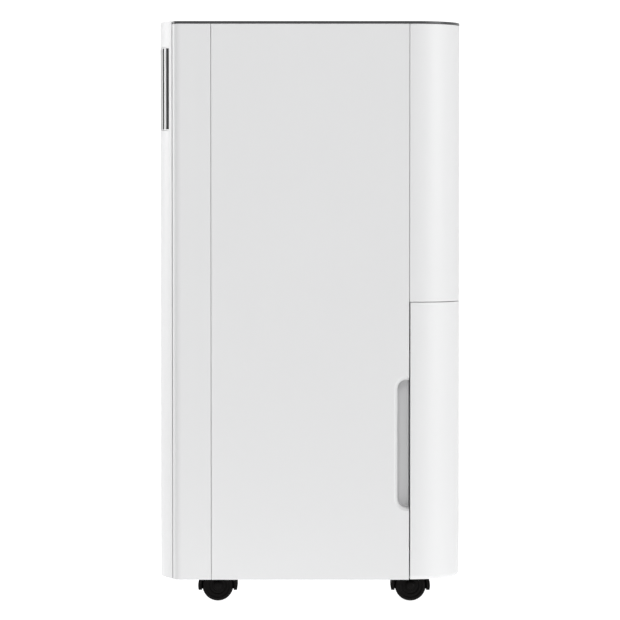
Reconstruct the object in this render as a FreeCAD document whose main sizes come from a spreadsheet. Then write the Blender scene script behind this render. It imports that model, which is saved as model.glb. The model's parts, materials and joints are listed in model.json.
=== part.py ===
import FreeCAD, Part
import math
import os

import Sketcher
from FreeCAD import Placement, Rotation, Vector
from types import SimpleNamespace

# A free-standing compressor dehumidifier on four swivel casters.
# Millimetres.  +Z is up, the front (air outlet) faces -Y, the water tank pulls out towards +Y.
# The origin lies on the floor, under the middle of the casing.

DRIVING_SIZES = (
    # whole machine
    ("overall_width", 386, "across the two side panels"),
    ("overall_depth", 310, "front panel face to the rear of the tank"),
    ("overall_height", 600, "floor to the top of the control panel"),
    ("body_bottom", 27, "lower edge of the casing above the floor"),
    # casing
    ("wall", 2.5, "thickness of the moulded casing walls"),
    ("seam", 0.6, "open joint between neighbouring casing panels"),
    ("fit", 0.3, "clearance between pieces that slide or drop into each other"),
    ("front_corner", 6, "upright corner radius at the front"),
    ("rear_corner", 50, "upright corner radius at the rear"),
    ("front_proud", 13.5, "how far the front panel stands out of the front shell"),
    ("front_flat_inset", 46, "side of the casing to the edge of the flat front face"),
    ("front_edge_inset", 6, "side of the casing to the edge of the front panel"),
    ("front_return", 40, "depth of the front shell's side walls"),
    ("rear_margin", 3, "straight wall between the side seams and the rear corners"),
    ("lip", 7, "overlap of the hidden lips behind the seams"),
    ("lip_wall", 2, "thickness of those lips"),
    ("plate_thick", 2.8, "thickness of the control panel plate"),
    ("cover_thick", 5, "thickness of the top cover under the plate"),
    # air outlet
    ("outlet_low", 488.7, "lower edge of the air outlet"),
    ("outlet_high", 574, "upper edge of the air outlet"),
    ("outlet_rail", 1, "top and bottom rail of the outlet grille"),
    ("rib_pitch", 10.2, "spacing of the upright outlet ribs"),
    ("rib_width", 3.5, "width of one outlet rib"),
    # finger recess beside the tank
    ("recess_low", 97.5, "lower end of the finger recess"),
    ("recess_high", 236.5, "upper end of the finger recess"),
    ("recess_width", 16, "width of the recess at the outer face"),
    ("recess_depth", 14, "depth of the recess"),
    ("recess_bevel", 4, "run of the slanting recess wall"),
    ("recess_corner", 13, "corner radius of the recess"),
    # water tank
    ("tank_top", 312.5, "seam between the tank and the rear shell"),
    ("tank_gap", 1.2, "open joint between the side panel and the tank"),
    ("tank_wall", 3, "thickness of the tank's outer cover"),
    ("tank_flange", 7.5, "width of the turned-in lower edge of the cover"),
    ("tank_edge_round", 4.5, "rounding of the cover's lower edge"),
    ("tub_inset", 33, "side of the casing to the side of the tub"),
    ("tub_depth", 92, "depth of the tub"),
    ("tub_height", 203, "height of the tub"),
    ("tub_wall", 2.5, "thickness of the tub walls"),
    ("tub_rounder", 30, "rear corner radius less the tub's corner radius"),
    ("lid_thick", 3, "thickness of the tank lid"),
    ("lid_hole", 12, "radius of the filling hole in the lid"),
    ("lug_thick", 6, "thickness of the handle's lugs"),
    ("lug_radius", 6, "half the width of the lugs and of the float's ears"),
    ("float_ears", 20, "middle of the float to the outside of its ears"),
    ("ear_thick", 2.5, "thickness of the float's ears"),
    ("float_pin", 2.5, "radius of the float's pin"),
    ("float_reach", 50, "pivot of the float to its far end"),
    ("float_drop", 25, "pivot of the float to its underside"),
    ("float_pivot_drop", 12.5, "pivot of the float below the rim of the tub"),
    ("float_pivot_inset", 20, "front of the tub to the pivot of the float"),
    ("bulb_start", 10, "pivot of the float to its bulb"),
    ("switch_width", 20, "width and height of the tank switch"),
    ("switch_depth", 7, "depth of the tank switch's case"),
    ("switch_drop", 5, "rim of the tub to the top of the tank switch"),
    ("plunger_radius", 3, "radius of the tank switch's plunger"),
    ("plunger_offset", 7, "side of the switch's case to the plunger"),
    ("plunger_drop", 12.5, "rim of the tub to the plunger"),
    ("handle_height", 7, "lid to the pivot line of the handle"),
    ("handle_rest", 7.3, "handle bar, folded down, to the rear of the tub"),
    ("handle_reach", 34, "length of the handle's arms"),
    ("handle_inset", 52, "side of the tub to the arm of the handle"),
    ("handle_bar", 5, "radius of the handle bar"),
    ("handle_arm", 4.5, "radius of the handle's arms"),
    ("handle_pin", 3, "radius of the handle's pivot pins"),
    ("pin_length", 16, "length of those pins"),
    # base pan
    ("pan_wall", 3, "thickness of the base pan"),
    ("pan_rim", 18, "height of the pan's rim"),
    ("tongue_inset", 14, "outer face of the casing to the edge of the deck"),
    # casters
    ("wheel_radius", 16.1, "radius of a caster wheel"),
    ("wheel_width", 11, "width of one caster wheel"),
    ("wheel_round", 2.5, "rounding of the tread edges"),
    ("web_thick", 6, "thickness of the caster's middle web"),
    ("hood_wall", 3.5, "thickness of the caster hood"),
    ("hood_gap", 0.9, "clearance between wheel and hood"),
    ("hood_low", 11.4, "lower edge of the hood above the floor"),
    ("axle_radius", 2.5, "radius of the caster axle"),
    ("running_gap", 0.05, "radial clearance of a pin or shaft in its bore"),
    ("wheel_hub", 5, "radius of the hub in the wheel's dish"),
    ("dish_depth", 2, "depth of the dish in the wheel's face"),
    ("stem_radius", 5, "radius of the caster stem"),
    ("stem_collar", 9, "radius of the collar under the stem"),
    ("boss_radius", 10, "radius of the socket that holds the stem"),
    ("stem_length", 12, "length of the stem in its socket"),
    ("trail", 8, "axle behind the swivel axis"),
    ("well_margin", 10.5, "edge of the caster hood to the wall of its round well"),
    ("well_gap", 3.4, "top of the caster hood to the roof of its well"),
    ("caster_inset", 55, "side of the casing to the swivel axis"),
    ("caster_front", 3.5, "front shell to the outside of the front wells"),
    ("caster_rear", 58.5, "rear of the casing to the rear swivel axes"),
    # bulkhead, fan and air duct
    ("bulkhead_y", 41, "front face of the bulkhead"),
    ("bulkhead_thick", 3, "thickness of the bulkhead"),
    ("shelf_depth", 82, "depth of the shelf that carries the coils"),
    ("fan_height", 412, "height of the fan axis"),
    ("fan_radius", 78, "outer radius of the fan wheel"),
    ("fan_inner", 64, "inner radius of the fan blades"),
    ("fan_depth", 60, "depth of the fan wheel"),
    ("fan_plate", 2, "thickness of the fan's back plate and front ring"),
    ("fan_hub", 12, "radius of the fan's hub"),
    ("blade_half", 0.8, "half the thickness of a blade"),
    ("inlet_margin", 2, "inner radius of the blades to the edge of the inlet"),
    ("scroll_radius", 92, "outer radius of the fan housing"),
    ("scroll_depth", 83, "depth of the fan housing"),
    ("duct_margin", 2.2, "duct outside the outlet opening"),
    ("shaft_radius", 4, "radius of the motor shaft"),
    ("motor_radius", 38, "radius of the fan motor"),
    ("motor_length", 51, "length of the fan motor"),
    ("motor_flange", 2, "thickness of the motor's flange"),
    ("motor_flange_radius", 47.5, "radius of that flange"),
    ("shaft_hole", 8, "radius of the hole for the shaft in the fan housing"),
    # heat exchangers
    ("coil_inset", 53, "side of the casing to the end of the fin packs"),
    ("coil_height", 242, "height of the fin packs"),
    ("condenser_depth", 26, "depth of the condenser fins"),
    ("evaporator_depth", 30, "depth of the evaporator fins"),
    ("coil_gap", 7, "space before, between and behind the fin packs"),
    ("fin_thick", 0.8, "thickness of one fin"),
    ("fin_pitch", 7, "spacing of the fins"),
    ("tube_radius", 4, "radius of the refrigerant tube"),
    ("row_pitch", 28, "spacing of the tube rows"),
    ("first_row", 16.8, "tray floor to the lowest row"),
    ("bend_room", 14, "room beside the fin packs for the tube bends"),
    ("shelf_overhang", 34, "end of the fin packs to the end of the shelf"),
    ("tray_wall", 2, "thickness of the drip tray"),
    ("spout_radius", 6, "outer radius of the spout"),
    ("spout_bore", 4, "inner radius of the spout"),
    ("spout_length", 15, "length of the spout below the tray"),
    ("capillary_radius", 2, "radius of the capillary tube"),
    ("capillary_reach", 21, "tube bends to the capillary tube's upright run"),
    ("pipe_bend", 12, "bend radius of the pipes"),
    ("tight_bend", 8, "bend radius of the elbow and the capillary tube"),
    ("pipe_rise", 30, "compressor can to the hot pipe that crosses over it"),
    ("pipe_step", 25, "hot pipe to the suction pipe above it"),
    ("hot_lane", 40, "compressor axis to the hot pipe's run across"),
    ("pipe_lane", 16, "tube bends to the upright runs of the pipes"),
    ("pass_radius", 6, "radius of the pipes' holes in the bulkhead"),
    ("tray_height", 12, "height of the drip tray"),
    # compressor
    ("compressor_inset", 76.5, "middle of the right half of the machine to the compressor axis"),
    ("compressor_y", -70, "compressor axis along the machine"),
    ("compressor_radius", 50, "radius of the compressor can"),
    ("compressor_height", 175, "height of the compressor can"),
    ("compressor_round", 25, "rounding of the can's ends"),
    ("foot_radius", 64, "circle of the compressor feet"),
    ("foot_plate", 3, "thickness of the compressor's foot plate"),
    ("grommet_height", 12, "rubber below the foot plate"),
    ("stud_radius", 3, "radius of the mounting studs"),
    ("stud_length", 27, "length of those studs"),
    ("ear_radius", 12, "radius of the ears of the foot plate"),
    ("arm_width", 15, "width of the arms of the foot plate"),
    ("neck_radius", 6, "radius of the grommets in the foot plate"),
    ("collar_radius", 10.5, "radius of the grommets' collars"),
    ("collar_thick", 3, "thickness of the grommets' upper collars"),
    ("nut_radius", 6, "corner radius of the nuts"),
    ("nut_height", 4.5, "height of the nuts"),
    ("capacitor_radius", 20, "radius of the run capacitor"),
    ("capacitor_height", 75, "height of the run capacitor"),
    ("capacitor_inset", 77.2, "left side of the casing to the capacitor axis"),
    ("capacitor_y", 7, "capacitor axis along the machine"),
    ("accumulator_low", 50, "foot of the compressor can to the accumulator"),
    ("accumulator_gap", 6, "compressor can to the accumulator"),
    ("elbow_drop", 15, "accumulator to the middle of its elbow"),
    ("accumulator_radius", 20, "radius of the suction accumulator"),
    ("accumulator_height", 115, "height of the suction accumulator"),
    # air intake and filter
    ("intake_inset", 73, "side of the casing to the intake opening"),
    ("intake_low", 340, "lower edge of the intake opening"),
    ("intake_high", 572, "upper edge of the intake opening"),
    ("gland_radius", 7, "outer radius of the cord gland"),
    ("gland_bore", 4, "radius of the hole for the cord"),
    ("gland_length", 7.2, "length of the cord gland"),
    ("gland_drop", 14, "lower edge of the intake to the cord gland"),
    ("gland_offset", 6, "side of the intake to the cord gland"),
    ("grille_thick", 4.5, "thickness of the intake grille"),
    ("slot_pitch", 9.5, "spacing of the intake slots"),
    ("slot_height", 5, "height of one intake slot"),
    ("filter_depth", 7, "depth of the filter frame"),
    ("filter_bar", 6, "width of the filter frame"),
    ("filter_gap", 1.2, "edge of the intake opening to the filter frame"),
    ("mesh_thick", 0.8, "thickness of the filter mesh"),
    ("grille_border", 6, "plain border of the intake grille"),
    # controls
    ("button_radius", 8, "radius of a push button"),
    ("button_spacing", 26, "spacing of the push buttons"),
    ("button_start", 19.5, "display window to the nearest button"),
    ("button_travel", 1, "how far a button goes down"),
    ("controls_y", -60, "row of buttons along the machine"),
    ("display_half", 28, "half the width of the display window"),
    ("display_depth", 24, "depth of the display window"),
    ("display_thick", 1.5, "thickness of the display window"),
    ("button_flange", 1.5, "how far the flange of a button stands out"),
    ("flange_thick", 2.25, "thickness of that flange"),
    ("key_radius", 3, "radius of a key switch under a button"),
    ("board_margin", 19.5, "outer button to the end of the circuit board"),
    ("post_radius", 4, "radius of the posts that carry the circuit board"),
    ("board_gap", 7.2, "top cover to the circuit board"),
    ("board_thick", 1.6, "thickness of the circuit board"),
)

document = FreeCAD.newDocument("Dehumidifier")
sheet = document.addObject("Spreadsheet::Sheet", "Sizes")
nodes = {}


class Size:
    """A length with its present value and the sheet formula that it comes from."""

    def __init__(self, formula, value):
        self.formula = formula
        self.value = float(value)

    def __add__(self, other):
        return join(self, "+", other)

    def __radd__(self, other):
        return join(other, "+", self)

    def __sub__(self, other):
        return join(self, "-", other)

    def __rsub__(self, other):
        return join(other, "-", self)

    def __mul__(self, other):
        return join(self, "*", other)

    def __rmul__(self, other):
        return join(other, "*", self)

    def __truediv__(self, other):
        return join(self, "/", other)

    def __neg__(self):
        return join(0, "-", self)

    def __float__(self):
        return self.value


def sized(number):
    if isinstance(number, Size):
        return number
    return Size(f"({number:.6g})", number)


def join(first, sign, second):
    first = sized(first)
    second = sized(second)
    results = {
        "+": lambda a, b: a + b,
        "-": lambda a, b: a - b,
        "*": lambda a, b: a * b,
        "/": lambda a, b: a / b,
    }
    value = results[sign](first.value, second.value)
    return Size(f"({first.formula} {sign} {second.formula})", value)


def root(size):
    return Size(f"sqrt({size.formula})", math.sqrt(size.value))


def fill_sheet():
    """Write every driving size with its alias and note, and return them by name."""
    found = {}
    for row, (name, value, note) in enumerate(DRIVING_SIZES, start=1):
        sheet.set(f"A{row}", name)
        sheet.set(f"B{row}", str(value))
        sheet.set(f"C{row}", note)
        sheet.setAlias(f"B{row}", name)
        found[name] = Size(f"Sizes.{name}", value)
    document.recompute()
    return found


size = SimpleNamespace(**fill_sheet())

# Lines of the casing that most pieces are placed from
half_width = size.overall_width / 2
front_face = -(size.overall_depth / 2)
rear_face = size.overall_depth / 2
front_line = front_face + size.front_proud
side_front = front_line + size.front_return
side_rear = rear_face - size.rear_corner - size.rear_margin
casing_top = size.overall_height - size.plate_thick
cover_low = casing_top - size.cover_thick
inner_face = half_width - size.wall
lip_face = inner_face - size.fit
lip_inside = lip_face - size.lip_wall

# Outlet and duct
slot_count = 2 * int((half_width.value - size.front_edge_inset.value) / size.rib_pitch.value)
outlet_half = size.rib_pitch * (slot_count / 2) - size.rib_width / 2
duct_half = outlet_half - size.duct_margin * 2
duct_low = size.outlet_low - size.duct_margin
duct_high = size.outlet_high + size.duct_margin

# Widths that follow the casing
tub_half = half_width - size.tub_inset
handle_half = tub_half - size.handle_inset
coil_half = half_width - size.coil_inset
intake_half = half_width - size.intake_inset
shelf_half = coil_half + size.shelf_overhang
compressor_x = size.compressor_inset - half_width / 2

# Base, tank bay and shelf
pan_floor = size.body_bottom + size.pan_wall
hood_radius = size.wheel_radius + size.hood_gap + size.hood_wall
well_radius = hood_radius + size.well_margin
well_top = size.wheel_radius + hood_radius + size.well_gap
deck_top = well_top + size.stem_length + size.pan_wall
shelf_low = size.tank_top
shelf_top = shelf_low + size.pan_wall
bulkhead_rear = size.bulkhead_y + size.bulkhead_thick
tub_low = deck_top + size.fit
tub_top = tub_low + size.tub_height
tub_rear = rear_face - size.tank_wall
tub_front = tub_rear - size.tub_depth
tub_corner = size.rear_corner - size.tub_rounder
lid_top = tub_top + size.lid_thick

# Heat exchangers stand in the drip tray, one behind the other
tray_floor = shelf_top + size.tray_wall
condenser_front = bulkhead_rear + size.coil_gap
condenser_middle = condenser_front + size.condenser_depth / 2
evaporator_front = condenser_front + size.condenser_depth + size.coil_gap
evaporator_middle = evaporator_front + size.evaporator_depth / 2
tray_front = bulkhead_rear + size.coil_gap / 2
tray_rear = evaporator_front + size.evaporator_depth + size.coil_gap
COIL_ROWS = 8
coil_end = coil_half + size.bend_room

# Casters and the things on the base pan
caster_places = {
    "front_left": (1, -1),
    "front_right": (-1, -1),
    "rear_left": (1, 1),
    "rear_right": (-1, 1),
}
foot_plate_low = pan_floor + size.grommet_height
can_low = foot_plate_low + size.foot_plate

# Controls
board_top = cover_low - size.board_gap
board_low = board_top - size.board_thick
button_names = ("button_power", "button_mode", "button_fan", "button_timer")
AXIS_TURNS = {
    "X": Rotation(Vector(0, 1, 0), 90),
    "Y": Rotation(Vector(1, 0, 0), -90),
    "Z": Rotation(),
}
OVERRUN = 1  # cutting tools reach this far past the faces that they open
TOUCHING = 0.01  # an edge this near a face lies on it
BLADE_COUNT = 36
WEB_SHARE = 0.75  # the caster's middle web reaches this far out to the tread
DISH_SHARE = 0.7  # the wheel's dish reaches this far out to the tread
BEND_SHARE = 0.98  # the coil bends fill this much of the room between two rows


def tie(item, prop, length):
    item.setExpression(prop, sized(length).formula)


def place(item, point, turn=None):
    """Put an object at a point that follows the sheet."""
    point = [sized(number) for number in point]
    item.Placement = Placement(Vector(*[number.value for number in point]), turn or Rotation())
    for axis, number in zip("xyz", point):
        tie(item, f"Placement.Base.{axis}", number)
    return item


def node(name, item):
    """Give a finished sub-part the name that its file takes."""
    item.Label = name
    nodes[name] = item
    return item


def block(name, low, high):
    item = document.addObject("Part::Box", name)
    for side, first, last in zip(("Length", "Width", "Height"), low, high):
        tie(item, side, last - first)
    return place(item, low)


def rod(name, start, axis, radius, length):
    item = document.addObject("Part::Cylinder", name)
    tie(item, "Radius", radius)
    tie(item, "Height", length)
    return place(item, start, AXIS_TURNS[axis])


def fuse(name, shapes):
    item = document.addObject("Part::MultiFuse", name)
    item.Shapes = shapes
    item.Refine = True
    return item


def cut(name, base, tools):
    item = document.addObject("Part::Cut", name)
    item.Base = base
    item.Tool = tools[0] if len(tools) == 1 else fuse(name + "_tools", tools)
    item.Refine = True
    return item


def make_body(name):
    return document.addObject("PartDesign::Body", name)


def sketch_on(body, role, offset=0):
    """A sketch on one of the body's own planes, moved along that plane's normal."""
    sketch = body.newObject("Sketcher::SketchObject", body.Name + "_sketch")
    plane = next(item for item in body.Origin.OriginFeatures if item.Role == role)
    sketch.AttachmentSupport = [(plane, "")]
    sketch.MapMode = "FlatFace"
    tie(sketch, "AttachmentOffset.Base.z", offset)
    return sketch


def grow(body, kind, sketch, length, reverse=False):
    """Add a Pad or a Pocket of a sketch to a body."""
    feature = body.newObject("PartDesign::" + kind, f"{body.Name}_{kind.lower()}")
    feature.Profile = sketch
    feature.Reversed = reverse
    tie(feature, "Length", length)
    body.Tip = feature
    return feature


class Outline:
    """Draws one closed loop in a sketch, with every corner held by the sheet."""

    def __init__(self, sketch, x, y):
        self.sketch = sketch
        self.first = (sized(x), sized(y))
        self.here = self.first
        self.last_end = None
        self.first_end = None

    def hold(self, edge, end, x=None, y=None):
        for kind, number in (("DistanceX", x), ("DistanceY", y)):
            if number is None:
                continue
            rule = Sketcher.Constraint(kind, -1, 1, edge, end, number.value)
            index = self.sketch.addConstraint(rule)
            self.sketch.setExpression(f"Constraints[{index}]", number.formula)

    def attach(self, edge, start, end):
        if self.last_end is None:
            self.first_end = (edge, start)
            self.hold(edge, start, *self.first)
        else:
            self.sketch.addConstraint(Sketcher.Constraint("Coincident", *self.last_end, edge, start))
        self.last_end = (edge, end)

    def line(self, x, y):
        target = (sized(x), sized(y))
        ends = [Vector(a.value, b.value, 0) for a, b in (self.here, target)]
        edge = self.sketch.addGeometry(Part.LineSegment(*ends))
        self.attach(edge, 1, 2)
        self.hold(edge, 2, *target)
        self.here = target
        return self

    def arc(self, centre_x, centre_y, x, y, clockwise=False):
        """An arc about a centre; its far end is held by the one coordinate that fixes it best."""
        target = (sized(x), sized(y))
        centre = (sized(centre_x), sized(centre_y))
        middle = Vector(centre[0].value, centre[1].value, 0)
        arms = [Vector(a.value, b.value, 0) - middle for a, b in (self.here, target)]
        angles = [math.atan2(arm.y, arm.x) for arm in arms]
        if clockwise:
            angles.reverse()
        circle = Part.Circle(middle, Vector(0, 0, 1), arms[0].Length)
        edge = self.sketch.addGeometry(Part.ArcOfCircle(circle, *angles))
        start, end = (2, 1) if clockwise else (1, 2)
        self.attach(edge, start, end)
        self.hold(edge, 3, *centre)
        if abs(arms[1].y) > abs(arms[1].x):
            self.hold(edge, end, x=target[0])
        else:
            self.hold(edge, end, y=target[1])
        self.here = target
        return self

    def close(self):
        ends = [Vector(a.value, b.value, 0) for a, b in (self.here, self.first)]
        edge = self.sketch.addGeometry(Part.LineSegment(*ends))
        self.attach(edge, 1, 2)
        self.sketch.addConstraint(Sketcher.Constraint("Coincident", edge, 2, *self.first_end))


def rectangle(sketch, low_x, low_y, high_x, high_y):
    pen = Outline(sketch, low_x, low_y)
    pen.line(high_x, low_y)
    pen.line(high_x, high_y)
    pen.line(low_x, high_y)
    pen.close()


def rounded(sketch, low_x, low_y, high_x, high_y, radius):
    pen = Outline(sketch, (low_x + high_x) / 2, low_y)
    pen.line(high_x - radius, low_y)
    pen.arc(high_x - radius, low_y + radius, high_x, low_y + radius)
    pen.line(high_x, high_y - radius)
    pen.arc(high_x - radius, high_y - radius, high_x - radius, high_y)
    pen.line(low_x + radius, high_y)
    pen.arc(low_x + radius, high_y - radius, low_x, high_y - radius)
    pen.line(low_x, low_y + radius)
    pen.arc(low_x + radius, low_y + radius, low_x + radius, low_y)
    pen.close()


def round_hole(sketch, x, y, radius):
    centre = (sized(x), sized(y))
    radius = sized(radius)
    middle = Vector(centre[0].value, centre[1].value, 0)
    edge = sketch.addGeometry(Part.Circle(middle, Vector(0, 0, 1), radius.value))
    for kind, number in (("DistanceX", centre[0]), ("DistanceY", centre[1])):
        index = sketch.addConstraint(Sketcher.Constraint(kind, -1, 1, edge, 3, number.value))
        sketch.setExpression(f"Constraints[{index}]", number.formula)
    index = sketch.addConstraint(Sketcher.Constraint("Radius", edge, radius.value))
    sketch.setExpression(f"Constraints[{index}]", radius.formula)


def repeat(body, feature, sketch, axis, count, length):
    """Repeat a feature along a sketch axis; length is from the first to the last copy."""
    pattern = body.newObject("PartDesign::LinearPattern", body.Name + "_pattern")
    pattern.Originals = [feature]
    pattern.Direction = (sketch, [axis])
    pattern.Occurrences = count
    tie(pattern, "Length", length)
    body.Tip = pattern
    return pattern


def casing_outline(sketch, inset):
    """The plan of the casing behind the front panel, moved inwards by an inset."""
    side = half_width - inset
    front_middle = front_line + size.front_corner
    rear_middle = rear_face - size.rear_corner
    front_x = half_width - size.front_corner
    rear_x = half_width - size.rear_corner
    pen = Outline(sketch, 0, front_line + inset)
    pen.line(front_x, front_line + inset)
    pen.arc(front_x, front_middle, side, front_middle)
    pen.line(side, rear_middle)
    pen.arc(rear_x, rear_middle, rear_x, rear_face - inset)
    pen.line(-rear_x, rear_face - inset)
    pen.arc(-rear_x, rear_middle, -side, rear_middle)
    pen.line(-side, front_middle)
    pen.arc(-front_x, front_middle, -front_x, front_line + inset)
    pen.close()


def rear_wrap(sketch, thickness, start):
    """The plan of a wall that wraps round the rear of the machine from side to side."""
    side = half_width
    middle = rear_face - size.rear_corner
    corner_x = half_width - size.rear_corner
    pen = Outline(sketch, side, start)
    pen.line(side, middle)
    pen.arc(corner_x, middle, corner_x, rear_face)
    pen.line(-corner_x, rear_face)
    pen.arc(-corner_x, middle, -side, middle)
    pen.line(-side, start)
    pen.line(thickness - side, start)
    pen.line(thickness - side, middle)
    pen.arc(-corner_x, middle, -corner_x, rear_face - thickness, clockwise=True)
    pen.line(corner_x, rear_face - thickness)
    pen.arc(corner_x, middle, side - thickness, middle, clockwise=True)
    pen.line(side - thickness, start)
    pen.close()


def make_side_panel(name, side):
    """A flat side wall with a finger recess moulded into its rear edge."""
    body = make_body(name)
    plane = half_width * side
    inward = side > 0
    face = sketch_on(body, "YZ_Plane", plane)
    edge = side_rear - size.seam / 2
    rectangle(face, side_front + size.seam / 2, size.body_bottom, edge, casing_top)
    grow(body, "Pad", face, size.wall, reverse=inward)

    cup = sketch_on(body, "YZ_Plane", plane - size.wall * side)
    cup_front = side_rear - size.recess_width - size.wall
    cup_low = size.recess_low - size.wall
    cup_high = size.recess_high + size.wall
    half_open_slot(cup, cup_front, cup_low, edge, cup_high, size.recess_corner)
    grow(body, "Pad", cup, size.recess_depth, reverse=inward)

    hollow = sketch_on(body, "YZ_Plane", plane)
    open_end = side_rear + size.recess_bevel + OVERRUN
    hollow_front = side_rear - size.recess_width
    half_open_slot(hollow, hollow_front, size.recess_low, open_end, size.recess_high, size.recess_corner)
    pocket = grow(body, "Pocket", hollow, size.recess_depth, reverse=not inward)
    pocket.setExpression("TaperAngle", f"-atan({(size.recess_bevel / size.recess_depth).formula})")
    return node(name, body)


def half_open_slot(sketch, front, low, rear, high, radius):
    """A rectangle with two rounded corners on its front side."""
    pen = Outline(sketch, rear, low)
    pen.line(rear, high)
    pen.line(front + radius, high)
    pen.arc(front + radius, high - radius, front, high - radius)
    pen.line(front, low + radius)
    pen.arc(front + radius, low + radius, front + radius, low)
    pen.close()


def make_front_shell():
    """The front of the casing: a wall with two short returns and lips behind the side seams."""
    body = make_body("front_shell")
    plan = sketch_on(body, "XY_Plane", size.body_bottom)
    corner_x = half_width - size.front_corner
    middle = front_line + size.front_corner
    edge = side_front - size.seam / 2
    lip_front = side_front - size.lip
    lip_rear = side_front + size.lip
    pen = Outline(plan, half_width, edge)
    pen.line(half_width, middle)
    pen.arc(corner_x, middle, corner_x, front_line, clockwise=True)
    pen.line(-corner_x, front_line)
    pen.arc(-corner_x, middle, -half_width, middle, clockwise=True)
    pen.line(-half_width, edge)
    pen.line(-lip_face, edge)
    pen.line(-lip_face, lip_rear)
    pen.line(-lip_inside, lip_rear)
    pen.line(-lip_inside, lip_front)
    pen.line(-inner_face, lip_front)
    pen.line(-inner_face, middle)
    pen.arc(-corner_x, middle, -corner_x, front_line + size.wall)
    pen.line(corner_x, front_line + size.wall)
    pen.arc(corner_x, middle, inner_face, middle)
    pen.line(inner_face, lip_front)
    pen.line(lip_inside, lip_front)
    pen.line(lip_inside, lip_rear)
    pen.line(lip_face, lip_rear)
    pen.line(lip_face, edge)
    pen.close()
    grow(body, "Pad", plan, casing_top - size.body_bottom)

    mouth = sketch_on(body, "XZ_Plane", -(front_line - OVERRUN))
    gap = size.wall + size.fit
    rectangle(mouth, -(duct_half + gap), duct_low - gap, duct_half + gap, duct_high + gap)
    grow(body, "Pocket", mouth, size.wall + 2 * OVERRUN)
    return node("front_shell", body)


def make_front_panel():
    """The bowed cover plate of the front, a shallow shell with the air outlet cut through it."""
    body = make_body("front_panel")
    low = size.body_bottom + size.fit
    plan = sketch_on(body, "XY_Plane", low)
    draw_bow(plan, 0, front_line)
    grow(body, "Pad", plan, size.overall_height - low)

    inside = sketch_on(body, "XY_Plane", low + size.wall)
    draw_bow(inside, size.wall, front_line)
    inner_height = size.overall_height - low - size.wall * 2
    grow(body, "Pocket", inside, inner_height, reverse=True)

    outlet = sketch_on(body, "XZ_Plane", -(front_face - OVERRUN))
    rectangle(outlet, -outlet_half, size.outlet_low, outlet_half, size.outlet_high)
    grow(body, "Pocket", outlet, size.front_proud + 2 * OVERRUN)
    return node("front_panel", body)


def bow_radius():
    run = size.front_flat_inset - size.front_edge_inset
    return (run * run + size.front_proud * size.front_proud) / (size.front_proud * 2)


def draw_bow(sketch, depth, back, limit=None):
    """The bowed front moved inwards by a depth and closed along a straight back line."""
    flat = half_width - size.front_flat_inset
    middle = front_face + bow_radius()
    inner = bow_radius() - depth
    if limit is None:
        edge = flat + root(inner * inner - (middle - back) * (middle - back))
        edge_y = back
    else:
        edge = limit
        edge_y = middle - root(inner * inner - (edge - flat) * (edge - flat))
    pen = Outline(sketch, 0, front_face + depth)
    pen.line(flat, front_face + depth)
    pen.arc(flat, middle, edge, edge_y)
    if limit is not None:
        pen.line(edge, back)
    pen.line(-edge, back)
    if limit is not None:
        pen.line(-edge, edge_y)
    pen.arc(-flat, middle, -flat, front_face + depth)
    pen.close()


def make_outlet_grille():
    """Upright ribs across the outlet; their front edges follow the bow of the front panel."""
    body = make_body("outlet_grille")
    low = size.outlet_low + size.fit / 2
    high = size.outlet_high - size.fit / 2
    plan = sketch_on(body, "XY_Plane", low)
    draw_bow(plan, size.fit / 2, front_line - size.fit, outlet_half - size.fit / 2)
    grow(body, "Pad", plan, high - low)

    slot = sketch_on(body, "XZ_Plane", -(front_face - OVERRUN))
    first = -(size.rib_pitch * (slot_count / 2 - 0.5))
    half_slot = (size.rib_pitch - size.rib_width) / 2
    slot_low = low + size.outlet_rail
    slot_high = high - size.outlet_rail
    rectangle(slot, first - half_slot + size.fit, slot_low, first + half_slot, slot_high)
    opening = grow(body, "Pocket", slot, size.front_proud + 2 * OVERRUN)
    repeat(body, opening, slot, "H_Axis", slot_count, size.rib_pitch * (slot_count - 1))
    return node("outlet_grille", body)


def make_rear_shell():
    """The upper rear of the casing, with the opening for the air intake."""
    body = make_body("rear_shell")
    low = size.tank_top + size.seam / 2
    height = casing_top - low
    plan = sketch_on(body, "XY_Plane", low)
    rear_wrap(plan, size.wall, side_rear + size.seam / 2)
    grow(body, "Pad", plan, height)
    for side in (1, -1):
        lip = sketch_on(body, "XY_Plane", low)
        lip_front = side_rear - size.lip
        lip_rear = rear_face - size.rear_corner + size.fit
        rectangle(lip, lip_inside * side, lip_front, lip_face * side, lip_rear)
        grow(body, "Pad", lip, height)
        web = sketch_on(body, "XY_Plane", low)
        web_front = side_rear + size.seam / 2
        rectangle(web, lip_inside * side, web_front, (inner_face + size.fit) * side, lip_rear)
        grow(body, "Pad", web, height)

    intake = sketch_on(body, "XZ_Plane", -(rear_face - size.wall - OVERRUN))
    rectangle(intake, -intake_half, size.intake_low, intake_half, size.intake_high)
    inlet_x, inlet_z = gland_place()
    round_hole(intake, inlet_x, inlet_z, size.gland_radius + size.fit / 2)
    grow(body, "Pocket", intake, size.wall + 2 * OVERRUN)
    return node("rear_shell", body)


def gland_place():
    """The cord comes out of the rear shell, below the intake and near its right-hand end."""
    return -(intake_half + size.gland_offset), size.intake_low - size.gland_drop


def make_cord_gland():
    x, z = gland_place()
    start = rear_face - size.fit - size.gland_length
    outer = rod("gland_outer", (x, start, z), "Y", size.gland_radius, size.gland_length)
    bore = rod("gland_bore", (x, start - OVERRUN, z), "Y", size.gland_bore,
               size.gland_length + 2 * OVERRUN)
    return node("cord_gland", cut("gland", outer, [bore]))


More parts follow.
